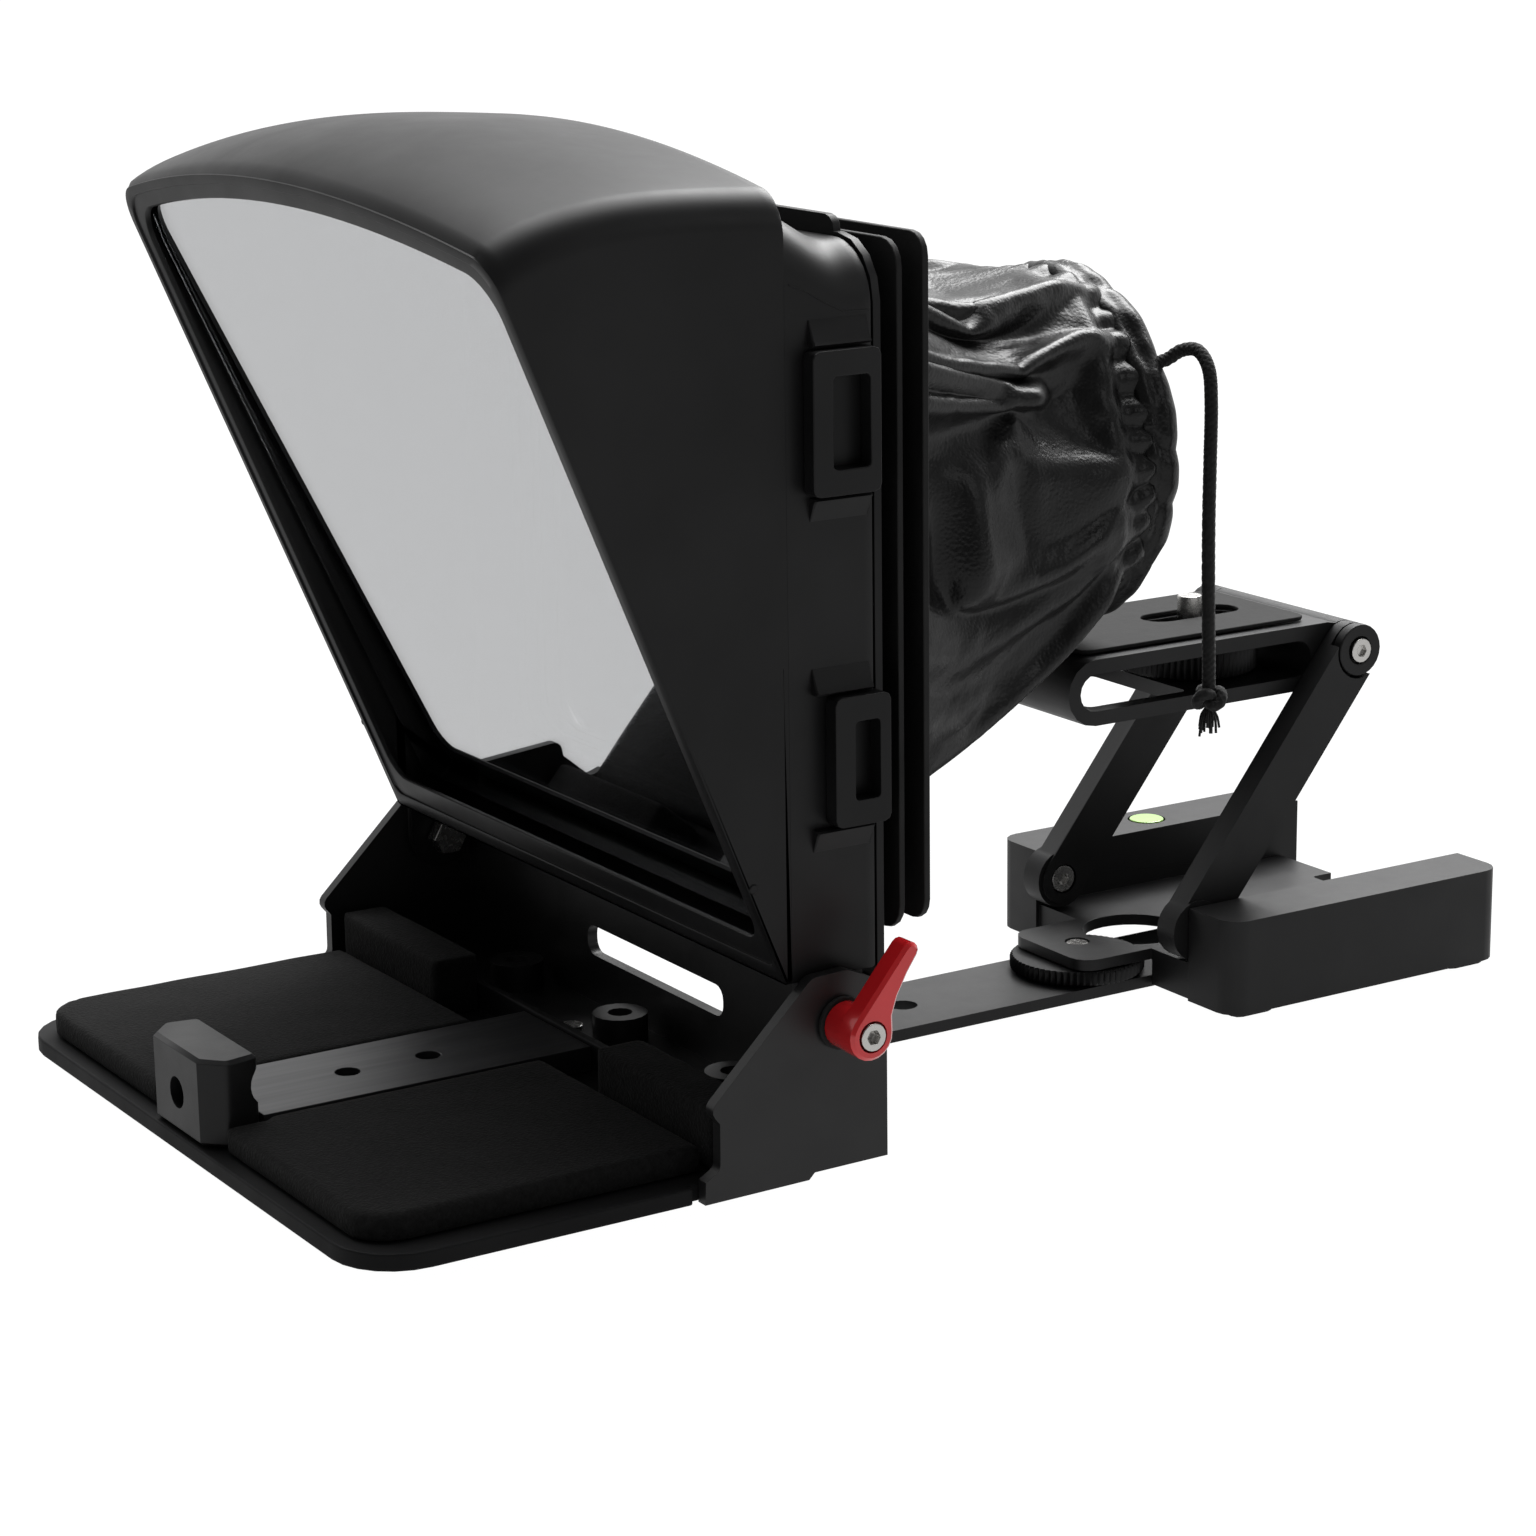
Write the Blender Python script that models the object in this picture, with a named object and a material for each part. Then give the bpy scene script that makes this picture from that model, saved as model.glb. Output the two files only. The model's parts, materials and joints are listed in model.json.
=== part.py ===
"""Teleprompter: a folding hood with slanted glass over a screen tray, with a rail and a tilt head.

Blender frame: metres, +Z up, +Y towards the camera head, X across, origin on the floor in the
middle of the footprint. Design lengths below are millimetres, and design Y counts from the
tray's front edge. Every mesh point is converted once, in metres_of().
"""

import math

import bmesh
import bpy
from mathutils import Matrix, Vector

MM = 0.001
DEPTH = 314.0
ORIGIN_Y = DEPTH / 2
GAP = 0.3

# Tray and chassis
TRAY_HALF = 84.7
TRAY_BOTTOM = 5.0
TRAY_TOP = 8.6
TRAY_REAR = 88.0
TRAY_CORNER = 14.0
TRAY_REAR_HALF = 83.0
FLANGE_TOP = 15.0
FLANGE_THICK = 2.0
FOAM_TOP = 14.3
STOP_TOP = 21.7
CHEEK_INNER = 83.3
CHEEK_OUTER = 86.0
CHASSIS_REAR = 114.0
WALL_FRONT = 111.5
WALL_TOP = 42.0
FLOOR_BOTTOM = 6.6
FLOOR_TOP = 8.8
BOSS_X = 46.0
BOSS_Y = 103.0
BOSS_TOP = 15.0

# Screen clamp
CHANNEL_HALF = 14.4
CHANNEL_FRONT = 13.0
CHANNEL_TOP = 14.2
BAR_HALF = 9.0
BAR_TOP = 12.2
JAW_TOP = 27.0

# Hood
PIVOT_Y = 103.2
PIVOT_Z = 36.2
HOOD_HALF = 82.5
HOOD_WALL = 2.0
HOOD_LOW = 44.4
FRONT_LOW_Y = 93.3
FRONT_HIGH_Y = 36.1
FRONT_HIGH_Z = 180.8
VISOR_REAR = 94.5
SHELL_REAR = 114.0
REAR_CORNER = 12.0
REAR_TOPS = ((91.5, 193.0), (94.5, 192.2), (101.5, 189.0), (108.5, 186.4), (SHELL_REAR, 186.0))
BORDER_DEPTH = 1.8
BORDER_WIDTH = 5.0
WINDOW_LOW = 52.6
GLASS_HIGH = (39.4, 183.4)
GLASS_LOW_Z = 52.0
GLASS_LEAN = 0.4612
GLASS_DEPTH = 1.65
SLEEVE_CENTRE_Z = 126.6
FRAME_FOOT = 41.0
TAB_HALF = 69.0
TAB_TOP = 189.7
MOUTH_RADIUS = 40.4
MOUTH_FRONT = 212.0
MOUTH_REAR = 222.0

# Rail and head
RAIL_HALF = 14.0
RAIL_BOTTOM = 0.3
RAIL_TOP = 3.0
WHEEL_RADIUS = 15.5
RAIL_WHEEL_Y = 224.5
BEAM_INNER = 29.0
BEAM_OUTER = 44.3
BEAM_TOP = 22.8
HEAD_FRONT = 234.0
WEB_BOTTOM = 6.9
WEB_TOP = 9.5
ARM_INNER = 22.0
ARM_OUTER = 28.0
LOWER_Y = 237.0
LOWER_Z = 17.0
UPPER_Y = 283.4
UPPER_Z = 75.5
TOP_HALF = 21.7
CAMERA_WHEEL_Y = 256.0

SIDES = (("right", 1), ("left", -1))

MATERIALS = {
    "tray_black": ((0.018, 0.018, 0.019), 0.5, 0.0),
    "chassis_black": ((0.015, 0.015, 0.016), 0.45, 0.0),
    "foam_black": ((0.012, 0.012, 0.012), 0.95, 0.0),
    "channel_anodised": ((0.12, 0.12, 0.125), 0.35, 1.0),
    "black_anodised": ((0.03, 0.03, 0.032), 0.4, 0.6),
    "hood_plastic": ((0.012, 0.012, 0.013), 0.4, 0.0),
    "splitter_glass": ((0.8, 0.83, 0.85), 0.03, 0.0),
    "panel_black": ((0.014, 0.014, 0.014), 0.6, 0.0),
    "sleeve_leather": ((0.012, 0.012, 0.013), 0.45, 0.0),
    "cord_black": ((0.01, 0.01, 0.01), 0.8, 0.0),
    "lever_red": ((0.65, 0.02, 0.03), 0.2, 0.0),
    "screw_steel": ((0.6, 0.6, 0.6), 0.25, 1.0),
    "rubber_black": ((0.02, 0.02, 0.02), 0.8, 0.0),
    "level_green": ((0.45, 0.8, 0.15), 0.15, 0.0),
}


# ---------------------------------------------------------------- helpers

def clear_scene():
    for obj in list(bpy.data.objects):
        bpy.data.objects.remove(obj, do_unlink=True)


def material(name):
    """The Principled material of that name, made the first time it is asked for."""
    if name in bpy.data.materials:
        return bpy.data.materials[name]
    colour, roughness, metallic = MATERIALS[name]
    made = bpy.data.materials.new(name)
    made.use_nodes = True
    shader = made.node_tree.nodes["Principled BSDF"]
    shader.inputs["Base Color"].default_value = (*colour, 1.0)
    shader.inputs["Roughness"].default_value = roughness
    shader.inputs["Metallic"].default_value = metallic
    return made


def metres_of(x, y, z):
    """A design point in millimetres as a point of the part's frame in metres."""
    return Vector((x, y - ORIGIN_Y, z)) * MM


def point_on(axis, u, v, along):
    """Design point for plane coordinates (u, v): (y, z) for X, (x, z) for Y, (x, y) for Z."""
    if axis == "X":
        return metres_of(along, u, v)
    if axis == "Y":
        return metres_of(u, along, v)
    return metres_of(u, v, along)


def finish_mesh(name, mesh, look, parent=None, smooth_angle=35.0):
    """Closes up a bmesh as a named object, with its normals out, under a parent empty if any."""
    bmesh.ops.recalc_face_normals(mesh, faces=mesh.faces)
    data = bpy.data.meshes.new(name)
    mesh.to_mesh(data)
    mesh.free()
    data.shade_smooth()
    data.set_sharp_from_angle(angle=math.radians(smooth_angle))
    obj = bpy.data.objects.new(name, data)
    bpy.context.collection.objects.link(obj)
    data.materials.append(material(look))
    if parent:
        attach(obj, parent)
    return obj


def attach(obj, parent):
    """Parents obj without moving it."""
    obj.parent = parent
    obj.matrix_parent_inverse = parent.matrix_world.inverted()


def joint_empty(name, x, y, z, parent=None):
    """An empty on a joint's axis, which the moving pieces are parented to."""
    empty = bpy.data.objects.new(name, None)
    bpy.context.collection.objects.link(empty)
    empty.location = metres_of(x, y, z)
    bpy.context.view_layer.update()
    if parent:
        attach(empty, parent)
    bpy.context.view_layer.update()
    return empty


def rounded(corners, radius, steps=4):
    """A closed outline whose corners are arcs. A corner is (u, v) or (u, v, its own radius)."""
    points = []
    count = len(corners)
    for index, corner in enumerate(corners):
        here = Vector(corner[:2])
        size = corner[2] if len(corner) > 2 else radius
        before = (Vector(corners[index - 1][:2]) - here).normalized()
        after = (Vector(corners[(index + 1) % count][:2]) - here).normalized()
        half = before.angle(after) / 2
        if size <= 0 or abs(half - math.pi / 2) < 0.02:
            points.append((here.x, here.y))
            continue
        centre = here + (before + after).normalized() * (size / math.sin(half))
        start = here + before * (size / math.tan(half)) - centre
        turn = start.angle_signed(here + after * (size / math.tan(half)) - centre)
        for step in range(steps + 1):
            arm = start.copy()
            arm.rotate(Matrix.Rotation(-turn * step / steps, 2))
            points.append((centre.x + arm.x, centre.y + arm.y))
    return points


def rectangle(u0, u1, v0, v1, radius=0.0, steps=4):
    return rounded([(u0, v0), (u1, v0), (u1, v1), (u0, v1)], radius, steps)


def circle(u, v, radius, sides=24):
    return [
        (u + radius * math.cos(math.tau * step / sides), v + radius * math.sin(math.tau * step / sides))
        for step in range(sides)
    ]


def extruded(outline, axis, low, high):
    """A bmesh of that outline, extruded along an axis between two design positions."""
    mesh = bmesh.new()
    ring = [mesh.verts.new(point_on(axis, u, v, low)) for u, v in outline]
    face = mesh.faces.new(ring)
    grown = bmesh.ops.extrude_face_region(mesh, geom=[face])
    moved = [item for item in grown["geom"] if isinstance(item, bmesh.types.BMVert)]
    shift = point_on(axis, 0, 0, high) - point_on(axis, 0, 0, low)
    bmesh.ops.translate(mesh, verts=moved, vec=shift)
    return mesh


def prism(name, outline, axis, low, high, look, parent=None, bevel=0.0):
    """A solid of one outline. A bevel rounds its long edges that are sharp."""
    obj = finish_mesh(name, extruded(outline, axis, low, high), look, parent)
    if bevel:
        add_bevel(obj, bevel)
    return obj


def add_bevel(obj, width, segments=1):
    modifier = obj.modifiers.new("soft_edges", "BEVEL")
    modifier.width = width * MM
    modifier.segments = segments
    modifier.limit_method = "ANGLE"
    modifier.angle_limit = math.radians(50)


def rod(name, axis, u, v, radius, low, high, look, parent=None, sides=24, bevel=0.0):
    return prism(name, circle(u, v, radius, sides), axis, low, high, look, parent, bevel)


def bridged(rings):
    """A bmesh skin over closed rings of equal length, capped at both ends."""
    mesh = bmesh.new()
    loops = [[mesh.verts.new(metres_of(*point)) for point in ring] for ring in rings]
    for first, second in zip(loops, loops[1:]):
        for index in range(len(first)):
            after = (index + 1) % len(first)
            mesh.faces.new((first[index], first[after], second[after], second[index]))
    mesh.faces.new(loops[0])
    mesh.faces.new(loops[-1])
    return mesh


def boolean(target, tool_mesh, operation):
    """Cuts from target, or adds to it, the solid in tool_mesh, which becomes a hidden tool."""
    tool = finish_mesh(target.name + "_tool", tool_mesh, "panel_black")
    tool.hide_render = True
    tool.display_type = "WIRE"
    modifier = target.modifiers.new(operation.lower(), "BOOLEAN")
    modifier.operation = operation
    modifier.object = tool
    return tool


def cut(target, outline, axis, low, high):
    return boolean(target, extruded(outline, axis, low, high), "DIFFERENCE")


def add(target, outline, axis, low, high):
    return boolean(target, extruded(outline, axis, low, high), "UNION")


# ---------------------------------------------------------------- base

def tray_outline():
    """Plan of the tray: wide at the front, narrower between the chassis cheeks."""
    side_end = 70.0
    return rounded(
        [
            (-TRAY_HALF, 0, TRAY_CORNER),
            (TRAY_HALF, 0, TRAY_CORNER),
            (TRAY_HALF, side_end),
            (TRAY_REAR_HALF, side_end),
            (TRAY_REAR_HALF, TRAY_REAR + FLANGE_THICK),
            (-TRAY_REAR_HALF, TRAY_REAR + FLANGE_THICK),
            (-TRAY_REAR_HALF, side_end),
            (-TRAY_HALF, side_end),
        ],
        0.0,
        6,
    )


def build_tray():
    tray = prism("tray_plate", tray_outline(), "Z", TRAY_BOTTOM, TRAY_TOP, "tray_black")
    flange = rectangle(-TRAY_REAR_HALF, TRAY_REAR_HALF, TRAY_REAR, TRAY_REAR + FLANGE_THICK)
    add(tray, flange, "Z", TRAY_TOP - 1.0, FLANGE_TOP)
    for name, front in (("tray_foot_front", 16.0), ("tray_foot_rear", 66.0)):
        strip = rectangle(-70, 70, front, front + 9, 4.0, 3)
        prism(name, strip, "Z", 0.0, TRAY_BOTTOM - GAP, "rubber_black")


def cheek_outline():
    """Side view (y, z) of a chassis cheek."""
    return rounded(
        [
            (71.9, 5.0),
            (95.6, 5.2),
            (96.9, 6.5),
            (CHASSIS_REAR, 6.6),
            (CHASSIS_REAR, WALL_TOP),
            (109.8, 44.4, 2.0),
            (104.8, 46.5, 2.0),
            (96.7, 46.2, 3.0),
            (73.2, 23.6, 2.0),
            (75.5, 20.8),
            (75.4, 11.5, 2.0),
            (72.1, 9.6),
        ],
        0.0,
        3,
    )


def build_chassis():
    frame = prism(
        "chassis_frame",
        rectangle(-CHEEK_OUTER, CHEEK_OUTER, WALL_FRONT, CHASSIS_REAR),
        "Z",
        FLOOR_BOTTOM,
        WALL_TOP,
        "chassis_black",
    )
    floor = rectangle(-CHEEK_OUTER + 0.5, CHEEK_OUTER - 0.5, TRAY_REAR + 2.4, CHASSIS_REAR - 1)
    add(frame, floor, "Z", FLOOR_BOTTOM, FLOOR_TOP)
    for _, side in SIDES:
        low, high = sorted((side * CHEEK_INNER, side * CHEEK_OUTER))
        add(frame, cheek_outline(), "X", low, high)
    for x in (-BOSS_X, 0.0, BOSS_X):
        add(frame, circle(x, BOSS_Y, 6.0, 16), "Z", FLOOR_TOP - 0.5, BOSS_TOP)
        cut(frame, circle(x, BOSS_Y, 2.7, 12), "Z", FLOOR_BOTTOM - 1, BOSS_TOP + 1)
    for x in (-11.0, 11.0):
        cut(frame, circle(x, 97.0, 1.8, 10), "Z", FLOOR_BOTTOM - 1, FLOOR_TOP + 1)
    cut(frame, rectangle(-28.5, 28.5, 19.6, 26.4, 2.8), "Y", WALL_FRONT - 1, CHASSIS_REAR + 1)
    for _, side in SIDES:
        low, high = sorted((side * (CHEEK_INNER - 1), side * (CHEEK_OUTER + 1)))
        cut(frame, circle(PIVOT_Y, PIVOT_Z, 2.6, 16), "X", low, high)


def build_foam():
    for name, side in SIDES:
        inner, notch, outer = side * (CHANNEL_HALF + 0.4), side * 16.4, side * 78.7
        pad = rounded(
            [(notch, 3.5, 1.0), (outer, 3.5, 9.0), (outer, 75.8, 1.0),
             (inner, 75.8, 1.0), (inner, 13.6), (notch, 13.6)],
            0.0,
        )
        prism("foam_pad_" + name, pad, "Z", TRAY_TOP + GAP, FOAM_TOP, "foam_black")
        low, high = sorted((side * 35.0, side * 81.0))
        stop = rectangle(low, high, 77.0, TRAY_REAR - GAP, 0.6, 2)
        prism("foam_stop_" + name, stop, "Z", TRAY_TOP + GAP, STOP_TOP, "foam_black")


def build_channel():
    """An upside-down channel: the slide bar runs in it, between it and the tray."""
    low = TRAY_TOP + GAP
    roof = BAR_TOP + GAP
    wall = BAR_HALF + 0.4
    section = [
        (-CHANNEL_HALF, low),
        (-wall, low),
        (-wall, roof),
        (wall, roof),
        (wall, low),
        (CHANNEL_HALF, low),
        (CHANNEL_HALF, CHANNEL_TOP),
        (-CHANNEL_HALF, CHANNEL_TOP),
    ]
    channel = prism(
        "slide_channel", section, "Y", CHANNEL_FRONT, TRAY_REAR - GAP, "channel_anodised"
    )
    for y in (38.5, 57.0):
        cut(channel, circle(0, y, 2.65, 16), "Z", roof - 1, CHANNEL_TOP + 1)


def build_rail():
    rail_front = 93.0
    rail_rear = 262.0
    outline = rectangle(-RAIL_HALF, RAIL_HALF, rail_front, rail_rear, 3.0, 3)
    rail = prism("camera_rail", outline, "Z", RAIL_BOTTOM, RAIL_TOP, "black_anodised")
    slot_rear = RAIL_WHEEL_Y + 25.0
    low, high = RAIL_BOTTOM - 1, RAIL_TOP + 1
    wide = rectangle(-5.2, 5.2, RAIL_WHEEL_Y - 5.2, slot_rear + 5.2, 5.1)
    narrow = rectangle(-3.4, 3.4, RAIL_WHEEL_Y - 3.4, slot_rear + 3.4, 3.3)
    cut(rail, narrow, "Z", low, high)
    cut(rail, wide, "Z", low, 1.6)
    for y, radius in ((176.0, 3.3), (BOSS_Y, 2.7)):
        cut(rail, circle(0, y, radius, 16), "Z", low, high)
    cut(rail, circle(0, BOSS_Y, 5.2, 16), "Z", low, 2.0)
    for x in (-11.0, 11.0):
        cut(rail, circle(x, 97.0, 1.8, 10), "Z", low, high)
    spacer = prism(
        "rail_spacer",
        rectangle(-RAIL_HALF, RAIL_HALF, 93.0, 112.0, 2.0, 2),
        "Z",
        RAIL_TOP + GAP,
        FLOOR_BOTTOM - GAP,
        "black_anodised",
    )
    cut(spacer, circle(0, BOSS_Y, 2.7, 16), "Z", low, 8.0)
    bolt = rod("rail_bolt", "Z", 0, BOSS_Y, 2.3, 0.8, 12.5, "screw_steel", sides=16)
    add(bolt, circle(0, BOSS_Y, 4.8, 16), "Z", 0.4, 1.7)
    for name, side in SIDES:
        x = side * 11.0
        cut(spacer, circle(x, 97.0, 1.8, 10), "Z", low, 8.0)
        screw = rod("rail_screw_" + name, "Z", x, 97.0, 1.5, 0.6, 9.6, "screw_steel", sides=10)
        add(screw, circle(x, 97.0, 2.7, 14), "Z", FLOOR_TOP + GAP, 10.4)


def build_hinges():
    for name, side in SIDES:
        shaft = sorted((side * 77.6, side * 91.0))
        head = sorted((side * 76.4, side * 79.9))
        bolt = rod(
            "hinge_bolt_" + name, "X", PIVOT_Y, PIVOT_Z, 2.2, *shaft, "screw_steel", sides=16
        )
        add(bolt, circle(PIVOT_Y, PIVOT_Z, 4.2, 6), "X", *head)
        outer = sorted((side * (CHEEK_OUTER + GAP), side * 87.2))
        washer = rod(
            "hinge_washer_" + name, "X", PIVOT_Y, PIVOT_Z, 5.4, *outer, "rubber_black", sides=20
        )
        cut(washer, circle(PIVOT_Y, PIVOT_Z, 2.6, 16), "X", outer[0] - 1, outer[1] + 1)


# ---------------------------------------------------------------- screen clamp

def build_clamp():
    slide = joint_empty("jaw_slide", 0, CHANNEL_FRONT, TRAY_TOP)
    plan = [
        (-10.6, 0.8),
        (10.6, 0.8),
        (15.4, 5.2, 2.0),
        (14.0, 12.5, 1.5),
        (-14.0, 12.5, 1.5),
        (-15.4, 5.2, 2.0),
    ]
    jaw = prism(
        "clamp_jaw", rounded(plan, 0.0, 3), "Z", TRAY_TOP + GAP, JAW_TOP, "black_anodised", slide, 0.8
    )
    groove = circle(15.2, 20.4, 4.6, 24)
    cut(jaw, groove, "X", -20, 20)
    cut(jaw, circle(0, 17.2, 3.3, 18), "Y", -2, 9)
    bar = rectangle(-BAR_HALF, BAR_HALF, 12.5 + GAP, 82.0)
    prism("jaw_slide_bar", bar, "Z", TRAY_TOP + GAP * 1.5, BAR_TOP, "black_anodised", slide)


# ---------------------------------------------------------------- hood

def crown(x, values):
    """Height at |x| of a visor edge given as (|x|, z) stations."""
    x = abs(x)
    for (x0, z0), (x1, z1) in zip(values, values[1:]):
        if x <= x1:
            return z0 + (z1 - z0) * (x - x0) / (x1 - x0)
    return values[-1][1]


FRONT_CROWN = (
    (0, 196.4), (26, 195.4), (52, 192.5), (67, 190.6), (76, 189.2), (80.6, 187.0), (HOOD_HALF, 180.8)
)
REAR_CROWN = (
    (0, 204.5), (20, 204.3), (49, 201.3), (65, 199.2), (75.5, 197.5), (80.7, 193.5), (HOOD_HALF, 186.0)
)
BULGE = 6.2


def hood_stations(inset):
    """|x| stations of a visor ring, from the side to the middle."""
    stations = (HOOD_HALF, 80.7, 76.0, 67.0, 52.0, 34.0, 17.0, 0.0)
    return [max(0.0, x - inset * min(1.0, x / 40)) for x in stations]


def front_line_y(z):
    """y of the slanted front plane at height z."""
    return FRONT_LOW_Y - (z - HOOD_LOW) * (FRONT_LOW_Y - FRONT_HIGH_Y) / (FRONT_HIGH_Z - HOOD_LOW)


def hood_ring(share, inset, low):
    """One arch-shaped ring of the hood, from the slanted front (share 0) to the visor's rear (1)."""
    bulge = BULGE * math.sin(math.pi * max(0.0, share) ** 0.7)
    right = []
    for x in hood_stations(inset):
        front = crown(x + inset * min(1.0, x / 40), FRONT_CROWN) - inset
        rear = crown(x + inset * min(1.0, x / 40), REAR_CROWN) - inset
        height = front + (rear - front) * share + bulge * (1 - 0.2 * (x / HOOD_HALF) ** 2)
        y = front_line_y(front) * (1 - share) + VISOR_REAR * share
        right.append((x, y, height))
    foot_y = front_line_y(max(low, HOOD_LOW)) * (1 - share) + VISOR_REAR * share
    foot = (HOOD_HALF - inset, foot_y, low)
    side = [foot, *right]
    return side + [(-x, y, z) for x, y, z in reversed(side) if x > 0]


def rear_body_ring(y, top, inset):
    """One ring (x, y, z) of the hood behind its visor: flat sides and large rounded top corners."""
    half = HOOD_HALF - inset
    radius = REAR_CORNER - inset
    low = HOOD_LOW + inset
    outline = rounded(
        [(-half, low), (half, low), (half, top - inset, radius), (-half, top - inset, radius)], 0.0, 5
    )
    return [(x, y, z) for x, z in outline]


def lug_outline(inset=0.0):
    """Side view (y, z) of the side wall round the pivot."""
    radius = 7.6 - inset
    start = math.radians(-200)
    end = math.radians(0)
    arc = [
        (PIVOT_Y + radius * math.cos(start + (end - start) * step / 10),
         PIVOT_Z + radius * math.sin(start + (end - start) * step / 10))
        for step in range(11)
    ]
    return arc + [(PIVOT_Y + radius, HOOD_LOW + 6), (PIVOT_Y - radius, HOOD_LOW + 6)]


def build_hood_shell(hood):
    rings = [hood_ring(step / 8, 0.0, HOOD_LOW) for step in range(9)]
    shell = finish_mesh("hood_shell", bridged(rings), "hood_plastic", hood)
    body = [rear_body_ring(y, top, 0.0) for y, top in REAR_TOPS]
    boolean(shell, bridged(body), "UNION")
    floor = HOOD_LOW + HOOD_WALL
    hollow = [hood_ring(-0.12 + 1.09 * step / 8, HOOD_WALL, floor) for step in range(9)]
    boolean(shell, bridged(hollow), "DIFFERENCE")
    rear_hollow = [rear_body_ring(y, top, HOOD_WALL) for y, top in REAR_TOPS]
    rear_hollow[0] = [(x, y - 3.0, z) for x, y, z in rear_hollow[0]]
    rear_hollow[-1] = [(x, y + 2.0, z) for x, y, z in rear_hollow[-1]]
    boolean(shell, bridged(rear_hollow), "DIFFERENCE")
    border = boolean(shell, front_slab(0.4, HOOD_LOW + 1.2, 0.0, BORDER_DEPTH), "UNION")
    window = front_slab(BORDER_WIDTH, WINDOW_LOW, -3.0, BORDER_DEPTH + 1.0)
    boolean(border, window, "DIFFERENCE")
    for _, side in SIDES:
        low, high = sorted((side * (HOOD_HALF - HOOD_WALL), side * HOOD_HALF))
        add(shell, lug_outline(), "X", low, high)
        cut(shell, circle(PIVOT_Y, PIVOT_Z, 2.6, 16), "X", low - 1, high + 1)


def front_slab(inset, low, start, end):
    """A bmesh slab shaped like the hood's slanted front, from start to end mm behind its plane."""
    ring = hood_ring(0.0, inset, low)
    return bridged([[(x, y + depth, z) for x, y, z in ring] for depth in (start, end)])


def slanted_sheet(x0, x1, start, end, thickness):
    """A bmesh slab across x0..x1 whose side view runs from start to end (y, z)."""
    first, last = Vector(start), Vector(end)
    along = (last - first).normalized()
    normal = Vector((along.y, -along.x)) * thickness
    outline = [first, last, last + normal, first + normal]
    return extruded([(point.x, point.y) for point in outline], "X", x0, x1)


def glass_line_y(z):
    """y of the glass's rear face at height z."""
    return GLASS_HIGH[0] + (GLASS_HIGH[1] - z) * GLASS_LEAN


def build_glass(hood):
    outline = [(x, glass_line_y(z), z) for x, _, z in hood_ring(0.0, 3.6, GLASS_LOW_Z)]
    front_face = [(x, y - GLASS_DEPTH, z) for x, y, z in outline]
    finish_mesh("beam_splitter_glass", bridged([front_face, outline]), "splitter_glass", hood)
    high = Vector(GLASS_HIGH)
    low = Vector((glass_line_y(GLASS_LOW_Z), GLASS_LOW_Z))
    slope = (low - high).normalized()
    behind = Vector((slope.y, -slope.x)) * -(GAP + 2.2)
    for name, side in SIDES:
        start, end = sorted((side * 74.0, side * 80.1))
        top = high + slope * 14.0 + behind
        bottom = low - slope * 3.0 + behind
        rail = slanted_sheet(start, end, top[:], bottom[:], 2.2)
        finish_mesh("glass_rail_" + name, rail, "hood_plastic", hood)


def plate_with_window(name, half, low, high, radius, window, front, rear, look, hood):
    plate = prism(
        name, rectangle(-half, half, low, high, radius, 4), "Y", front, rear, look, hood
    )
    inner_half, inner_low, inner_high = window
    hole = rectangle(-inner_half, inner_half, inner_low, inner_high, 8.0, 3)
    cut(plate, hole, "Y", front - 1, rear + 1)
    return plate


def build_rear_plates(hood):
    window = (60.0, 64.0, 176.0)
    plates = (
        ("rear_frame", 82.3, 46.5, 186.6, REAR_CORNER, SHELL_REAR + GAP, 116.0, "hood_plastic"),
        ("panel_gasket", 66.0, 58.0, 182.0, 8.0, 116.3, 119.2, "foam_black"),
        ("rear_panel", 82.5, 50.5, 186.0, 5.5, 119.5, 120.9, "panel_black"),
        ("sleeve_gasket", 68.0, 58.0, 182.0, 8.0, 121.2, 124.4, "foam_black"),
        ("sleeve_plate", 83.5, 52.0, 187.0, 4.5, 124.7, 126.2, "panel_black"),
    )
    for name, half, low, high, radius, front, rear, look in plates:
        plate = plate_with_window(name, half, low, high, radius, window, front, rear, look, hood)
        if name == "rear_frame":
            tab = rectangle(-TAB_HALF, TAB_HALF, high - 6.0, TAB_TOP, 3.0, 3)
            add(plate, tab, "Y", front, rear)
            foot = rectangle(-half, half, FRAME_FOOT, window[1] - 2.0, 2.0, 3)
            add(plate, foot, "Y", front, rear)


def build_latches(hood):
    """Two U-shaped clips on each side, open to the front of the hood's rear edge."""
    band = 5.0
    inner = HOOD_HALF + GAP
    outer = 86.4
    for name, side in SIDES:
        for level, front, rear, low, high in (
            ("upper", 98.2, 113.5, 139.5, 167.0),
            ("lower", 102.5, 115.2, 75.0, 100.6),
        ):
            start, end = sorted((side * inner, side * outer))
            outline = rectangle(front, rear, low, high, 1.5, 2)
            clip = prism(f"latch_clip_{level}_{name}", outline, "X", start, end, "hood_plastic", hood)
            hole = rectangle(front + 4.5, rear - 2.5, low + band, high - band, 0.8, 2)
            cut(clip, hole, "X", start - 1, end + 1)


def sleeve_ring(y, half_x, half_z, centre_z, power, sides=32):
    """A ring of the sleeve: a rounded rectangle for a high power, a circle for power 2."""
    points = []
    for step in range(sides):
        angle = math.tau * (step + 0.5) / sides
        x = math.copysign(abs(math.cos(angle)) ** (2 / power), math.cos(angle)) * half_x
        z = math.copysign(abs(math.sin(angle)) ** (2 / power), math.sin(angle)) * half_z
        points.append((x, y, centre_z + z))
    return points


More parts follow.
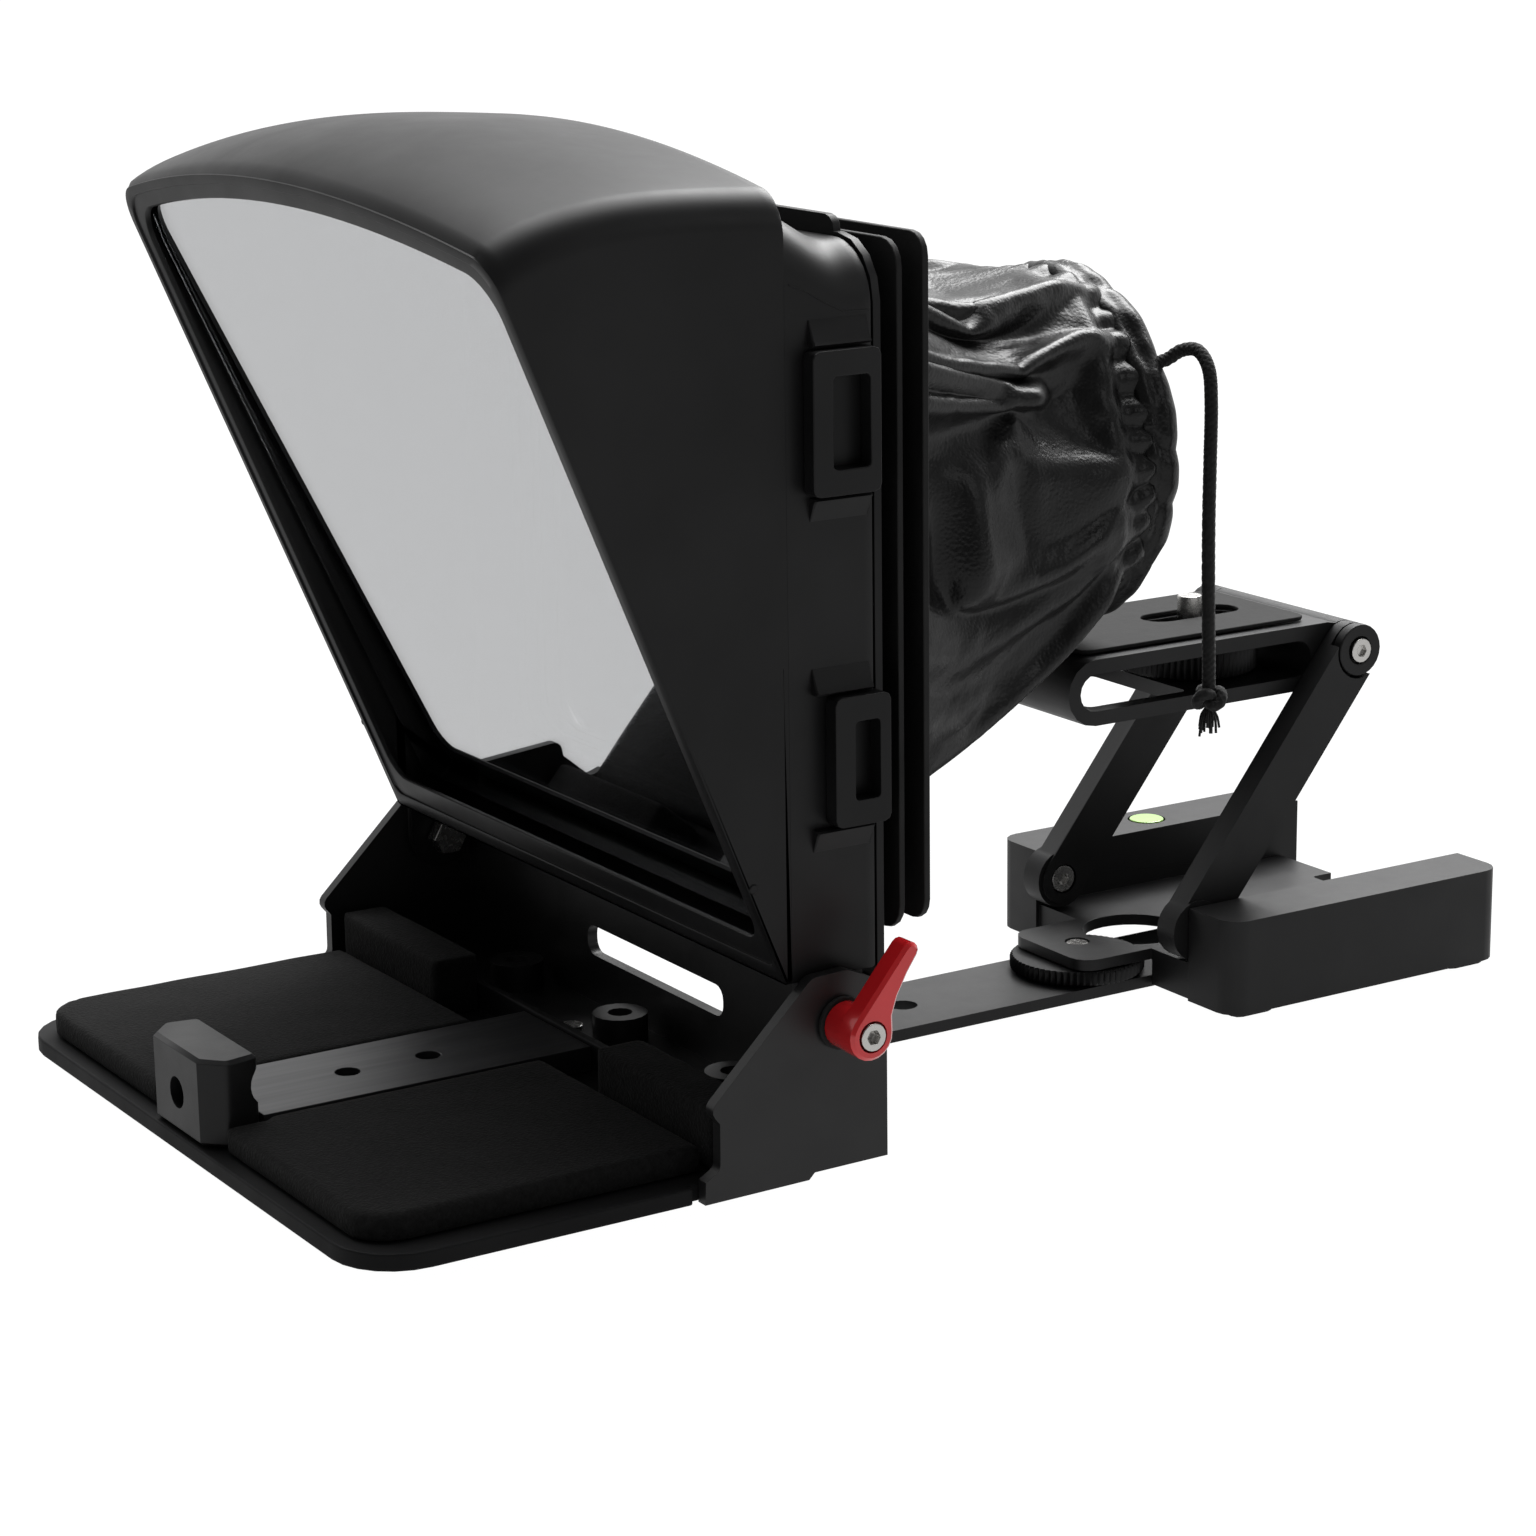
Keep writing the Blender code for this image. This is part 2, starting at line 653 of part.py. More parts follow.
def build_sleeve(hood):
    """The lens sleeve: an open tunnel from the sleeve plate to a gathered round mouth."""
    stations = (
        (126.6, 66.0, 60.5, 120.5, 6.0),
        (145.0, 64.5, 59.0, 120.5, 4.6),
        (165.0, 60.5, 56.0, 121.5, 3.4),
        (187.0, 54.0, 51.0, 123.5, 2.6),
        (202.0, 48.0, 45.0, 125.6, 2.2),
        (MOUTH_FRONT, 41.5, 41.0, SLEEVE_CENTRE_Z, 2.0),
    )
    thick = 2.4
    rings = [sleeve_ring(*station) for station in stations]
    sleeve = finish_mesh("lens_sleeve", bridged(rings), "sleeve_leather", hood, 60.0)
    hollow = [sleeve_ring(y, x - thick, z - thick, c, p) for y, x, z, c, p in stations]
    hollow[0] = [(x, y - 3, z) for x, y, z in hollow[0]]
    hollow[-1] = [(x, y + 3, z) for x, y, z in hollow[-1]]
    boolean(sleeve, bridged(hollow), "DIFFERENCE")
    hem = rod(
        "sleeve_hem", "Y", 0, SLEEVE_CENTRE_Z, MOUTH_RADIUS, MOUTH_FRONT + GAP, MOUTH_REAR,
        "sleeve_leather", hood, 32, 2.0,
    )
    cut(hem, circle(0, SLEEVE_CENTRE_Z, 35.0, 32), "Y", MOUTH_FRONT - 2, MOUTH_REAR + 2)


# The drawstring's route: out of the hem, over its rim and down, in design millimetres
DRAWSTRING_ROUTE = (
    (32.0, 223.2, 148.0),
    (34.5, 225.5, 150.1),
    (38.6, 226.6, 150.4),
    (42.6, 226.4, 146.9),
    (44.6, 225.6, 140.0),
    (45.3, 225.0, 129.0),
    (45.5, 224.7, 115.0),
    (45.6, 224.8, 100.0),
    (45.8, 225.0, 86.0),
    (45.9, 225.1, 77.0),
)
CORD_RADIUS = 1.5


def smooth_through(points, steps):
    """Points of a Catmull-Rom curve through the route's own points."""
    route = [Vector(point) for point in points]
    route = [route[0] * 2 - route[1], *route, route[-1] * 2 - route[-2]]
    curve = []
    for a, b, c, d in zip(route, route[1:], route[2:], route[3:]):
        for step in range(steps):
            t = step / steps
            curve.append(
                0.5 * (2 * b + (c - a) * t + (2 * a - 5 * b + 4 * c - d) * t**2
                       + (3 * b - a - 3 * c + d) * t**3)
            )
    curve.append(route[-2])
    return curve


def build_drawstring(hood):
    data = bpy.data.curves.new("drawstring", "CURVE")
    data.dimensions = "3D"
    data.bevel_depth = CORD_RADIUS * MM
    data.bevel_resolution = 2
    data.use_fill_caps = True
    curve = smooth_through(DRAWSTRING_ROUTE, 2)
    spline = data.splines.new("POLY")
    spline.points.add(len(curve) - 1)
    for target, point in zip(spline.points, curve):
        target.co = (*metres_of(*point), 1.0)
    data.materials.append(material("cord_black"))
    obj = bpy.data.objects.new("drawstring", data)
    bpy.context.collection.objects.link(obj)
    attach(obj, hood)


def build_hood():
    hood = joint_empty("hood_fold", 0, PIVOT_Y, PIVOT_Z)
    build_hood_shell(hood)
    build_glass(hood)
    build_rear_plates(hood)
    build_latches(hood)
    build_sleeve(hood)
    build_drawstring(hood)


# ---------------------------------------------------------------- clamp levers

def lever_outline():
    """Side view (y, z) of a lever: a round hub, a straight front edge and a hollow rear edge."""
    hub, tip, length = 4.9, 1.8, 18.0
    lean = Vector((math.cos(math.radians(59.8)), math.sin(math.radians(59.8))))
    local = []
    for step in range(13):
        angle = math.radians(81 + 222 * step / 12)
        local.append((hub * math.cos(angle), hub * math.sin(angle)))
    local += [(5.4, -2.4), (9.2, -1.6), (14.0, -1.5)]
    for step in range(7):
        angle = math.radians(-90 + 171 * step / 6)
        local.append((length + tip * math.cos(angle), tip * math.sin(angle)))
    return [
        (PIVOT_Y + along * lean.x - across * lean.y, PIVOT_Z + along * lean.y + across * lean.x)
        for along, across in local
    ]


def build_levers():
    for name, side in SIDES:
        pivot = joint_empty("lever_" + name, side * 90.0, PIVOT_Y, PIVOT_Z)
        arm = sorted((side * 91.9, side * 97.4))
        lever = prism("clamp_lever_" + name, lever_outline(), "X", *arm, "lever_red", pivot, 0.7)
        hub = sorted((side * 87.5, side * 93.0))
        add(lever, circle(PIVOT_Y, PIVOT_Z, 4.7, 24), "X", *hub)
        bore = sorted((side * 87.0, side * 91.5))
        cut(lever, circle(PIVOT_Y, PIVOT_Z, 2.6, 16), "X", *bore)
        seat = sorted((side * 93.5, side * 98.5))
        cut(lever, circle(PIVOT_Y, PIVOT_Z, 3.2, 20), "X", *seat)
        shank = sorted((side * 93.8, side * 97.7))
        screw = rod(
            "lever_screw_" + name, "X", PIVOT_Y, PIVOT_Z, 2.8, *shank, "screw_steel", pivot, 18
        )
        socket = sorted((side * 95.8, side * 98.5))
        cut(screw, circle(PIVOT_Y, PIVOT_Z, 1.5, 6), "X", *socket)


# ---------------------------------------------------------------- tilt head

def toothed(u, v, radius, depth, teeth):
    """A knurled wheel's outline."""
    points = []
    for step in range(teeth * 2):
        size = radius - depth * (step % 2)
        angle = math.tau * step / (teeth * 2)
        points.append((u + size * math.cos(angle), v + size * math.sin(angle)))
    return points


def build_head_base(head):
    web = rounded(
        [
            (-14.2, 215.5, 5.0),
            (14.2, 215.5, 5.0),
            (14.2, 235.0),
            (BEAM_INNER + 1, 235.0),
            (BEAM_INNER + 1, 309.0),
            (-BEAM_INNER - 1, 309.0),
            (-BEAM_INNER - 1, 235.0),
            (-14.2, 235.0),
        ],
        0.0,
        4,
    )
    base = prism("head_base", web, "Z", WEB_BOTTOM, WEB_TOP, "black_anodised", head)
    for _, side in SIDES:
        low, high = sorted((side * BEAM_INNER, side * BEAM_OUTER))
        plan = rounded(
            [(side * BEAM_INNER, HEAD_FRONT), (side * BEAM_OUTER, HEAD_FRONT, 5.0),
             (side * BEAM_OUTER, DEPTH, 5.0), (side * BEAM_INNER, DEPTH)],
            0.0,
            4,
        )
        add(base, plan, "Z", 1.0, BEAM_TOP)
        for y0, y1 in ((HEAD_FRONT + 3.0, HEAD_FRONT + 14.0), (DEPTH - 14.0, DEPTH - 3.0)):
            add(base, rectangle(low + 1.5, high - 1.5, y0, y1, 2.0, 2), "Z", 0.0, 2.0)
        lip = sorted((side * (RAIL_HALF + 0.5), side * (BEAM_INNER + 1)))
        add(base, rectangle(*lip, 235.0, 238.0), "Z", 1.0, WEB_BOTTOM + 1)
        screw_hole = sorted((side * (BEAM_INNER - 1), side * (BEAM_INNER + 9.0)))
        cut(base, circle(LOWER_Y, LOWER_Z, 2.3, 14), "X", *screw_hole)
    cut(base, circle(0, 241.0, 12.0, 28), "Z", WEB_BOTTOM - 1, WEB_TOP + 1)
    cut(base, circle(0, RAIL_WHEEL_Y, 2.9, 16), "Z", WEB_BOTTOM - 1, WEB_TOP + 1)
    vial_pocket = rectangle(-41.6, -32.4, 268.4, 277.6, 4.5)
    cut(base, vial_pocket, "Z", BEAM_TOP - 2.5, BEAM_TOP + 1)
    cut(base, rectangle(-10.0, -3.0, 303.0, 311.0, 1.0, 2), "Z", WEB_BOTTOM - 1, WEB_TOP + 1)


def build_head():
    head = joint_empty("head_slide", 0, RAIL_WHEEL_Y, RAIL_TOP)
    build_head_base(head)
    rod("level_vial", "Z", -37.0, 273.0, 4.2, BEAM_TOP - 2.2, BEAM_TOP + 0.2, "level_green", head, 20)
    stud = rod("rail_stud", "Z", 0, RAIL_WHEEL_Y, 2.6, 0.9, 9.2, "screw_steel", head, 14)
    add(stud, circle(0, RAIL_WHEEL_Y, 4.8, 18), "Z", 0.5, 1.3)
    spin = joint_empty("rail_wheel_spin", 0, RAIL_WHEEL_Y, RAIL_TOP, head)
    outline = toothed(0, RAIL_WHEEL_Y, WHEEL_RADIUS, 0.7, 30)
    wheel = prism("rail_wheel", outline, "Z", RAIL_TOP + GAP, WEB_BOTTOM - GAP, "black_anodised", spin)
    cut(wheel, circle(0, RAIL_WHEEL_Y, 2.9, 14), "Z", RAIL_TOP - 1, WEB_BOTTOM + 1)
    return head


def arm_outline():
    """Side view (y, z) of an arm: a bar 12 wide between two round ends."""
    along = math.atan2(UPPER_Z - LOWER_Z, UPPER_Y - LOWER_Y)
    points = []
    for y, z, turn in ((UPPER_Y, UPPER_Z, -90), (LOWER_Y, LOWER_Z, 90)):
        for step in range(9):
            angle = along + math.radians(turn + 180 * step / 8)
            points.append((y + 6.0 * math.cos(angle), z + 6.0 * math.sin(angle)))
    return points


def build_arms(head):
    tilt = joint_empty("arm_tilt", 0, LOWER_Y, LOWER_Z, head)
    for name, side in SIDES:
        span = sorted((side * ARM_INNER, side * ARM_OUTER))
        arm = prism("arm_" + name, arm_outline(), "X", *span, "black_anodised", tilt)
        add(arm, circle(LOWER_Y, LOWER_Z, 7.0, 24), "X", *sorted((side * 22.6, side * 28.7)))
        cut(arm, circle(LOWER_Y, LOWER_Z, 2.3, 14), "X", span[0] - 1, span[1] + 1)
        seat = sorted((side * 21.0, side * 24.0))
        cut(arm, circle(LOWER_Y, LOWER_Z, 3.6, 20), "X", *seat)
        cap_seat = sorted((side * 25.0, side * 29.5))
        cut(arm, circle(UPPER_Y, UPPER_Z, 6.6, 28), "X", *cap_seat)
        cut(arm, circle(UPPER_Y, UPPER_Z, 2.3, 14), "X", span[0] - 1, span[1] + 1)
        shank = sorted((side * 22.9, side * 36.0))
        lower = rod(
            "lower_screw_" + name, "X", LOWER_Y, LOWER_Z, 1.9, *shank, "screw_steel", head, 12
        )
        add(lower, circle(LOWER_Y, LOWER_Z, 3.2, 18), "X", *sorted((side * 22.2, side * 23.7)))
        cut(lower, circle(LOWER_Y, LOWER_Z, 1.4, 6), "X", *sorted((side * 21.5, side * 23.2)))
    return tilt


def stadium(y0, y1, z, radius, steps=8):
    """Side view (y, z) of a bar with round ends, from axis y0 to axis y1."""
    points = []
    for y, turn in ((y1, -90), (y0, 90)):
        for step in range(steps + 1):
            angle = math.radians(turn + 180 * step / steps)
            points.append((y + radius * math.cos(angle), z + radius * math.sin(angle)))
    return points


def build_top_plate(tilt):
    pivot = joint_empty("plate_tilt", 0, UPPER_Y, UPPER_Z, tilt)
    loop_z = 74.0
    half = 7.5
    front = 205.5
    plate = prism(
        "top_plate", stadium(front + half, UPPER_Y - 4.5, loop_z, half), "X",
        -TOP_HALF, TOP_HALF, "black_anodised", pivot,
    )
    add(plate, circle(UPPER_Y, UPPER_Z, 6.0, 24), "X", -TOP_HALF + 0.01, TOP_HALF - 0.01)
    cut(plate, stadium(front + half, 270.0, loop_z, 4.2), "X", -TOP_HALF - 1, TOP_HALF + 1)
    cut(plate, rectangle(-3.5, 3.5, CAMERA_WHEEL_Y - 12, CAMERA_WHEEL_Y + 12, 3.4), "Z", 76, 84)
    cut(plate, rectangle(4.0 - TOP_HALF, TOP_HALF - 4.0, 214.0, 241.5, 1.5, 3), "Z", 64, 72)
    for y in (CAMERA_WHEEL_Y - 10, CAMERA_WHEEL_Y + 10):
        cut(plate, circle(0, y, 2.4, 12), "Z", 64, 72)
    for _, side in SIDES:
        cut(plate, circle(UPPER_Y, UPPER_Z, 2.3, 14), "X", *sorted((side * 12.0, side * 23.0)))
    pad = prism(
        "top_pad", rectangle(-18, 18, 212, 276, 3.0, 3), "Z", 81.5 + GAP, 82.8, "rubber_black", pivot
    )
    cut(pad, rectangle(-4.5, 4.5, CAMERA_WHEEL_Y - 13, CAMERA_WHEEL_Y + 13, 4.4), "Z", 80, 84)
    build_caps(pivot)
    build_camera_wheel(pivot)


def build_caps(pivot):
    for name, side in SIDES:
        span = sorted((side * 25.3, side * ARM_OUTER))
        cap = rod("arm_cap_" + name, "X", UPPER_Y, UPPER_Z, 6.0, *span, "black_anodised", pivot, 24)
        cut(cap, circle(UPPER_Y, UPPER_Z, 2.3, 14), "X", span[0] - 1, span[1] + 1)
        cut(cap, circle(UPPER_Y, UPPER_Z, 3.2, 18), "X", *sorted((side * 26.8, side * 29.0)))
        shank = sorted((side * 14.0, side * 27.4))
        screw = rod(
            "upper_screw_" + name, "X", UPPER_Y, UPPER_Z, 1.9, *shank, "screw_steel", pivot, 12
        )
        add(screw, circle(UPPER_Y, UPPER_Z, 2.8, 18), "X", *sorted((side * 27.1, side * 28.5)))
        cut(screw, circle(UPPER_Y, UPPER_Z, 1.4, 6), "X", *sorted((side * 27.6, side * 29.0)))


def build_camera_wheel(pivot):
    spin = joint_empty("camera_wheel_spin", 0, CAMERA_WHEEL_Y, UPPER_Z, pivot)
    low, high = 70.3, 77.6
    outline = toothed(0, CAMERA_WHEEL_Y, WHEEL_RADIUS, 0.7, 30)
    wheel = prism("camera_wheel", outline, "Z", low, high, "black_anodised", spin)
    cut(wheel, circle(0, CAMERA_WHEEL_Y, 3.1, 14), "Z", low - 1, high + 1)
    rod("camera_stud", "Z", 0, CAMERA_WHEEL_Y, 2.8, 71.0, 87.0, "screw_steel", spin, 14)


def main():
    clear_scene()
    build_tray()
    build_chassis()
    build_foam()
    build_channel()
    build_rail()
    build_hinges()
    build_clamp()
    build_hood()
    build_levers()
    head = build_head()
    tilt = build_arms(head)
    build_top_plate(tilt)


main()
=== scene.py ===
"""Looks of the teleprompter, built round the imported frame.

Stage, lights and the camera are in metres. Shapes are in design millimetres, which place() turns
into the frame's metres.
"""

import json
import math

import bmesh
import bpy
from mathutils import Matrix, Vector, noise


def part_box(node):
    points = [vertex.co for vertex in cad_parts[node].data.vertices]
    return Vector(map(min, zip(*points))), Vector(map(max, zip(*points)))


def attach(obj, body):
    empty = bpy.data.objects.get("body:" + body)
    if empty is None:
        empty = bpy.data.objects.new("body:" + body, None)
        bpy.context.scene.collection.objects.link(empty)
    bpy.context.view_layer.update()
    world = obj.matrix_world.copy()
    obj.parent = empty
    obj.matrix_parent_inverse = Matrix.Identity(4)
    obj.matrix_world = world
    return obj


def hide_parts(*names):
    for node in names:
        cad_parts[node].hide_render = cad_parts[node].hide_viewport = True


MM = 0.001

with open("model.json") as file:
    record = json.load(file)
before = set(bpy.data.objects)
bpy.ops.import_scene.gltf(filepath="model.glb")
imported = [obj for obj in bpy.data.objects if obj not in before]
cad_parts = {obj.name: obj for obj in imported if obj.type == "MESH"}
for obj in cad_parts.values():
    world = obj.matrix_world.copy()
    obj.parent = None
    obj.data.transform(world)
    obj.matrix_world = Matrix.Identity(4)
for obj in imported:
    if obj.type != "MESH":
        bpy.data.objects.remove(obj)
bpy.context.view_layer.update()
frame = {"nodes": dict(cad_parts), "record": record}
nodes = frame["nodes"]


# ------------------------------------------------------------------ stage

CAMERA_PLACE = (0.6756, -0.4383, 0.2695)
CAMERA_AZIMUTH = 57.98
CAMERA_DOWN = 14.52
CAMERA_ROLL = -0.81
CAMERA_LENS = 89.46
WHITE = (1.0, 1.0, 1.0, 1.0)
FLOOR_RADIUS = 30.0
FLOOR_DROP = 0.0004
FLOOR_PAINT = 0.06
FLOOR_GLOW = 0.59
BACKDROP_WAY = (-0.85, 0.53, 0.0)
BACKDROP_DIM = 0.12


def make_camera():
    azimuth, down, roll = (math.radians(a) for a in (CAMERA_AZIMUTH, CAMERA_DOWN, CAMERA_ROLL))
    level = math.cos(down)
    forward = Vector((-math.sin(azimuth) * level, math.cos(azimuth) * level, -math.sin(down)))
    level_right = Vector((math.cos(azimuth), math.sin(azimuth), 0.0))
    level_up = level_right.cross(forward)
    right = level_right * math.cos(roll) + level_up * math.sin(roll)
    up = right.cross(forward)
    data = bpy.data.cameras.new("camera")
    data.lens = CAMERA_LENS
    data.sensor_width = 36.0
    data.clip_end = 60.0
    camera = bpy.data.objects.new("camera", data)
    turn = Matrix((right, up, -forward)).transposed().to_4x4()
    camera.matrix_world = Matrix.Translation(CAMERA_PLACE) @ turn
    bpy.context.scene.collection.objects.link(camera)
    bpy.context.scene.camera = camera


def make_light(name, kind, energy, place, target, **settings):
    data = bpy.data.lights.new(name, kind)
    data.energy = energy
    for key, value in settings.items():
        setattr(data, key, value)
    light = bpy.data.objects.new(name, data)
    light.location = place
    aim = Vector(target) - Vector(place)
    light.rotation_euler = aim.to_track_quat("-Z", "Y").to_euler()
    bpy.context.scene.collection.objects.link(light)


def seen_by_camera(tree, value):
    """A mix node whose result is value for what the camera sees directly, and its A input for the rest."""
    mix = tree.nodes.new("ShaderNodeMix")
    mix.inputs["B"].default_value = value
    tree.links.new(tree.nodes.new("ShaderNodeLightPath").outputs["Is Camera Ray"], mix.inputs["Factor"])
    return mix


def make_floor():
    """A floor that glows white to the camera and less to the object, so no shadow shows on it."""
    mesh = bmesh.new()
    bmesh.ops.create_circle(mesh, cap_ends=True, segments=96, radius=FLOOR_RADIUS)
    data = bpy.data.meshes.new("floor")
    mesh.to_mesh(data)
    mesh.free()
    floor = bpy.data.objects.new("floor", data)
    floor.location.z = -FLOOR_DROP
    bpy.context.scene.collection.objects.link(floor)
    paint = bpy.data.materials.new("floor_paint")
    paint.use_nodes = True
    shader = paint.node_tree.nodes["Principled BSDF"]
    shader.inputs["Base Color"].default_value = (FLOOR_PAINT, FLOOR_PAINT, FLOOR_PAINT, 1.0)
    shader.inputs["Roughness"].default_value = 0.9
    shader.inputs["Specular IOR Level"].default_value = 0.0
    shader.inputs["Emission Color"].default_value = WHITE
    glow = seen_by_camera(paint.node_tree, 1.0)
    glow.inputs["A"].default_value = FLOOR_GLOW
    paint.node_tree.links.new(glow.outputs["Result"], shader.inputs["Emission Strength"])
    data.materials.append(paint)


def make_backdrop():
    """A world that is white to the camera. It lights the object most from behind it."""
    world = bpy.data.worlds.new("studio")
    bpy.context.scene.world = world
    world.use_nodes = True
    tree = world.node_tree
    background = tree.nodes["Background"]
    background.inputs["Color"].default_value = WHITE
    behind = tree.nodes.new("ShaderNodeVectorMath")
    behind.operation = "DOT_PRODUCT"
    behind.inputs[1].default_value = BACKDROP_WAY
    tree.links.new(tree.nodes.new("ShaderNodeTexCoord").outputs["Generated"], behind.inputs[0])
    card = tree.nodes.new("ShaderNodeMapRange")
    card.inputs["From Min"].default_value = -0.1
    card.inputs["From Max"].default_value = 0.8
    card.inputs["To Min"].default_value = BACKDROP_DIM
    card.inputs["To Max"].default_value = 1.0
    tree.links.new(behind.outputs["Value"], card.inputs["Value"])
    strength = seen_by_camera(tree, 1.0)
    tree.links.new(card.outputs["Result"], strength.inputs["A"])
    tree.links.new(strength.outputs["Result"], background.inputs["Strength"])


def make_stage():
    make_floor()
    make_backdrop()
    make_light("key_sun", "SUN", 2.9, (-0.6, 0.5, 2.0), (0, 0, 0.1), angle=math.radians(50))
    make_light(
        "top_box", "AREA", 10.0, (-0.35, 0.7, 0.8), (0, 0, 0.12),
        shape="RECTANGLE", size=0.7, size_y=0.5,
    )
    make_light(
        "side_box", "AREA", 0.9, (1.1, 0.7, 0.7), (0, 0.05, 0.1),
        shape="RECTANGLE", size=0.35, size_y=0.6,
    )
    bpy.context.scene.view_settings.view_transform = "Standard"


# -------------------------------------------------------------- materials

class Look:
    """A Principled material and short ways to add node detail to it."""

    def __init__(self, name, colour, roughness, metallic=0.0, **sockets):
        self.material = bpy.data.materials.new(name)
        self.material.use_nodes = True
        self.tree = self.material.node_tree
        self.shader = self.tree.nodes["Principled BSDF"]
        self.colour = colour
        self.set("Base Color", (*colour, 1.0))
        self.set("Roughness", roughness)
        self.set("Metallic", metallic)
        for socket, value in sockets.items():
            self.set(socket.replace("_", " "), value)
        self.coords = self.tree.nodes.new("ShaderNodeTexCoord").outputs["Object"]

    def set(self, socket, value):
        self.shader.inputs[socket].default_value = value

    def link(self, source, target):
        self.tree.links.new(source, target)

    def noise(self, scale, detail=3.0, rough=0.55, stretch=None):
        texture = self.tree.nodes.new("ShaderNodeTexNoise")
        texture.inputs["Scale"].default_value = scale
        texture.inputs["Detail"].default_value = detail
        texture.inputs["Roughness"].default_value = rough
        self.link(self.placed(stretch), texture.inputs["Vector"])
        return texture.outputs["Fac"]

    def cells(self, scale, feature="F1"):
        texture = self.tree.nodes.new("ShaderNodeTexVoronoi")
        texture.feature = feature
        texture.inputs["Scale"].default_value = scale
        self.link(self.coords, texture.inputs["Vector"])
        return texture.outputs["Distance"]

    def placed(self, stretch):
        if not stretch:
            return self.coords
        mapping = self.tree.nodes.new("ShaderNodeMapping")
        mapping.inputs["Scale"].default_value = stretch
        self.link(self.coords, mapping.inputs["Vector"])
        return mapping.outputs["Vector"]

    def remap(self, source, low, high, start=0.3, end=0.7):
        node = self.tree.nodes.new("ShaderNodeMapRange")
        node.inputs["From Min"].default_value = start
        node.inputs["From Max"].default_value = end
        node.inputs["To Min"].default_value = low
        node.inputs["To Max"].default_value = high
        self.link(source, node.inputs["Value"])
        return node.outputs["Result"]

    def vary_roughness(self, source, low, high):
        self.link(self.remap(source, low, high), self.shader.inputs["Roughness"])

    def vary_colour(self, source, other, start=0.3, end=0.7):
        """Runs the base colour between the look's own colour and another."""
        mix = self.tree.nodes.new("ShaderNodeMix")
        mix.data_type = "RGBA"
        mix.inputs["A"].default_value = (*self.colour, 1.0)
        mix.inputs["B"].default_value = (*other, 1.0)
        self.link(self.remap(source, 0.0, 1.0, start, end), mix.inputs["Factor"])
        self.link(mix.outputs["Result"], self.shader.inputs["Base Color"])

    def bump(self, *layers):
        """Stacks bump layers, each (height source, strength, distance)."""
        normal = None
        for source, strength, distance in layers:
            node = self.tree.nodes.new("ShaderNodeBump")
            node.inputs["Strength"].default_value = strength
            node.inputs["Distance"].default_value = distance
            self.link(source, node.inputs["Height"])
            if normal:
                self.link(normal, node.inputs["Normal"])
            normal = node.outputs["Normal"]
        self.link(normal, self.shader.inputs["Normal"])


def moulded_plastic():
    look = Look("hood_plastic", (0.005, 0.005, 0.0053), 0.42, Specular_IOR_Level=0.24)
    look.vary_roughness(look.noise(60, 4), 0.38, 0.47)
    look.vary_colour(look.noise(25, 3), (0.011, 0.011, 0.0115))
    look.bump((look.noise(2600, 2), 0.10, 0.00008))
    return look


def painted_metal():
    look = Look("chassis_black", (0.009, 0.009, 0.0095), 0.40, Specular_IOR_Level=0.45)
    look.vary_roughness(look.noise(90, 4), 0.36, 0.46)
    look.vary_colour(look.noise(40, 3), (0.012, 0.012, 0.0125))
    look.bump((look.noise(1900, 2), 0.12, 0.0001))
    return look


def tray_paint():
    look = Look("tray_black", (0.007, 0.007, 0.0075), 0.6, Specular_IOR_Level=0.12)
    look.vary_roughness(look.noise(70, 4), 0.55, 0.66)
    look.vary_colour(look.noise(30, 3), (0.011, 0.011, 0.0115))
    look.bump((look.noise(1700, 2), 0.12, 0.0001))
    return look


def foam():
    look = Look("foam_black", (0.0055, 0.0055, 0.0055), 0.95, Specular_IOR_Level=0.12, Sheen_Weight=0.03)
    look.vary_colour(look.noise(700, 5, 0.7), (0.014, 0.014, 0.014), 0.35, 0.75)
    look.bump(
        (look.noise(120, 3), 0.25, 0.0006),
        (look.cells(1500), 0.45, 0.0003),
        (look.noise(2800, 3), 0.4, 0.0002),
    )
    return look


def satin_anodised():
    look = Look("channel_anodised", (0.05, 0.05, 0.052), 0.42, 0.6)
    look.vary_roughness(look.noise(500, 3, 0.6, (1, 0.03, 1)), 0.36, 0.46)
    look.bump((look.noise(2200, 2, 0.5, (1, 0.04, 1)), 0.06, 0.00006))
    return look


def black_anodised():
    look = Look("black_anodised", (0.014, 0.014, 0.0145), 0.43, 0.42, Specular_IOR_Level=0.4)
    look.vary_roughness(look.noise(80, 4), 0.38, 0.48)
    look.vary_colour(look.noise(35, 3), (0.018, 0.018, 0.0185))
    look.bump((look.noise(2400, 2), 0.14, 0.0001))
    return look


def panel_sheet():
    look = Look("panel_black", (0.006, 0.006, 0.006), 0.6, Specular_IOR_Level=0.3)
    look.vary_roughness(look.noise(90, 4), 0.55, 0.68)
    look.bump((look.noise(2300, 3), 0.2, 0.00012))
    return look


def leather():
    look = Look("sleeve_leather", (0.0025, 0.0025, 0.0026), 0.32, Specular_IOR_Level=0.3)
    look.vary_roughness(look.noise(140, 4), 0.27, 0.38)
    look.vary_colour(look.noise(60, 3), (0.004, 0.004, 0.0042))
    look.bump(
        (look.noise(240, 3), 0.12, 0.0004),
        (look.cells(1300, "SMOOTH_F1"), 0.4, 0.0002),
        (look.noise(2600, 2), 0.2, 0.0001),
    )
    return look


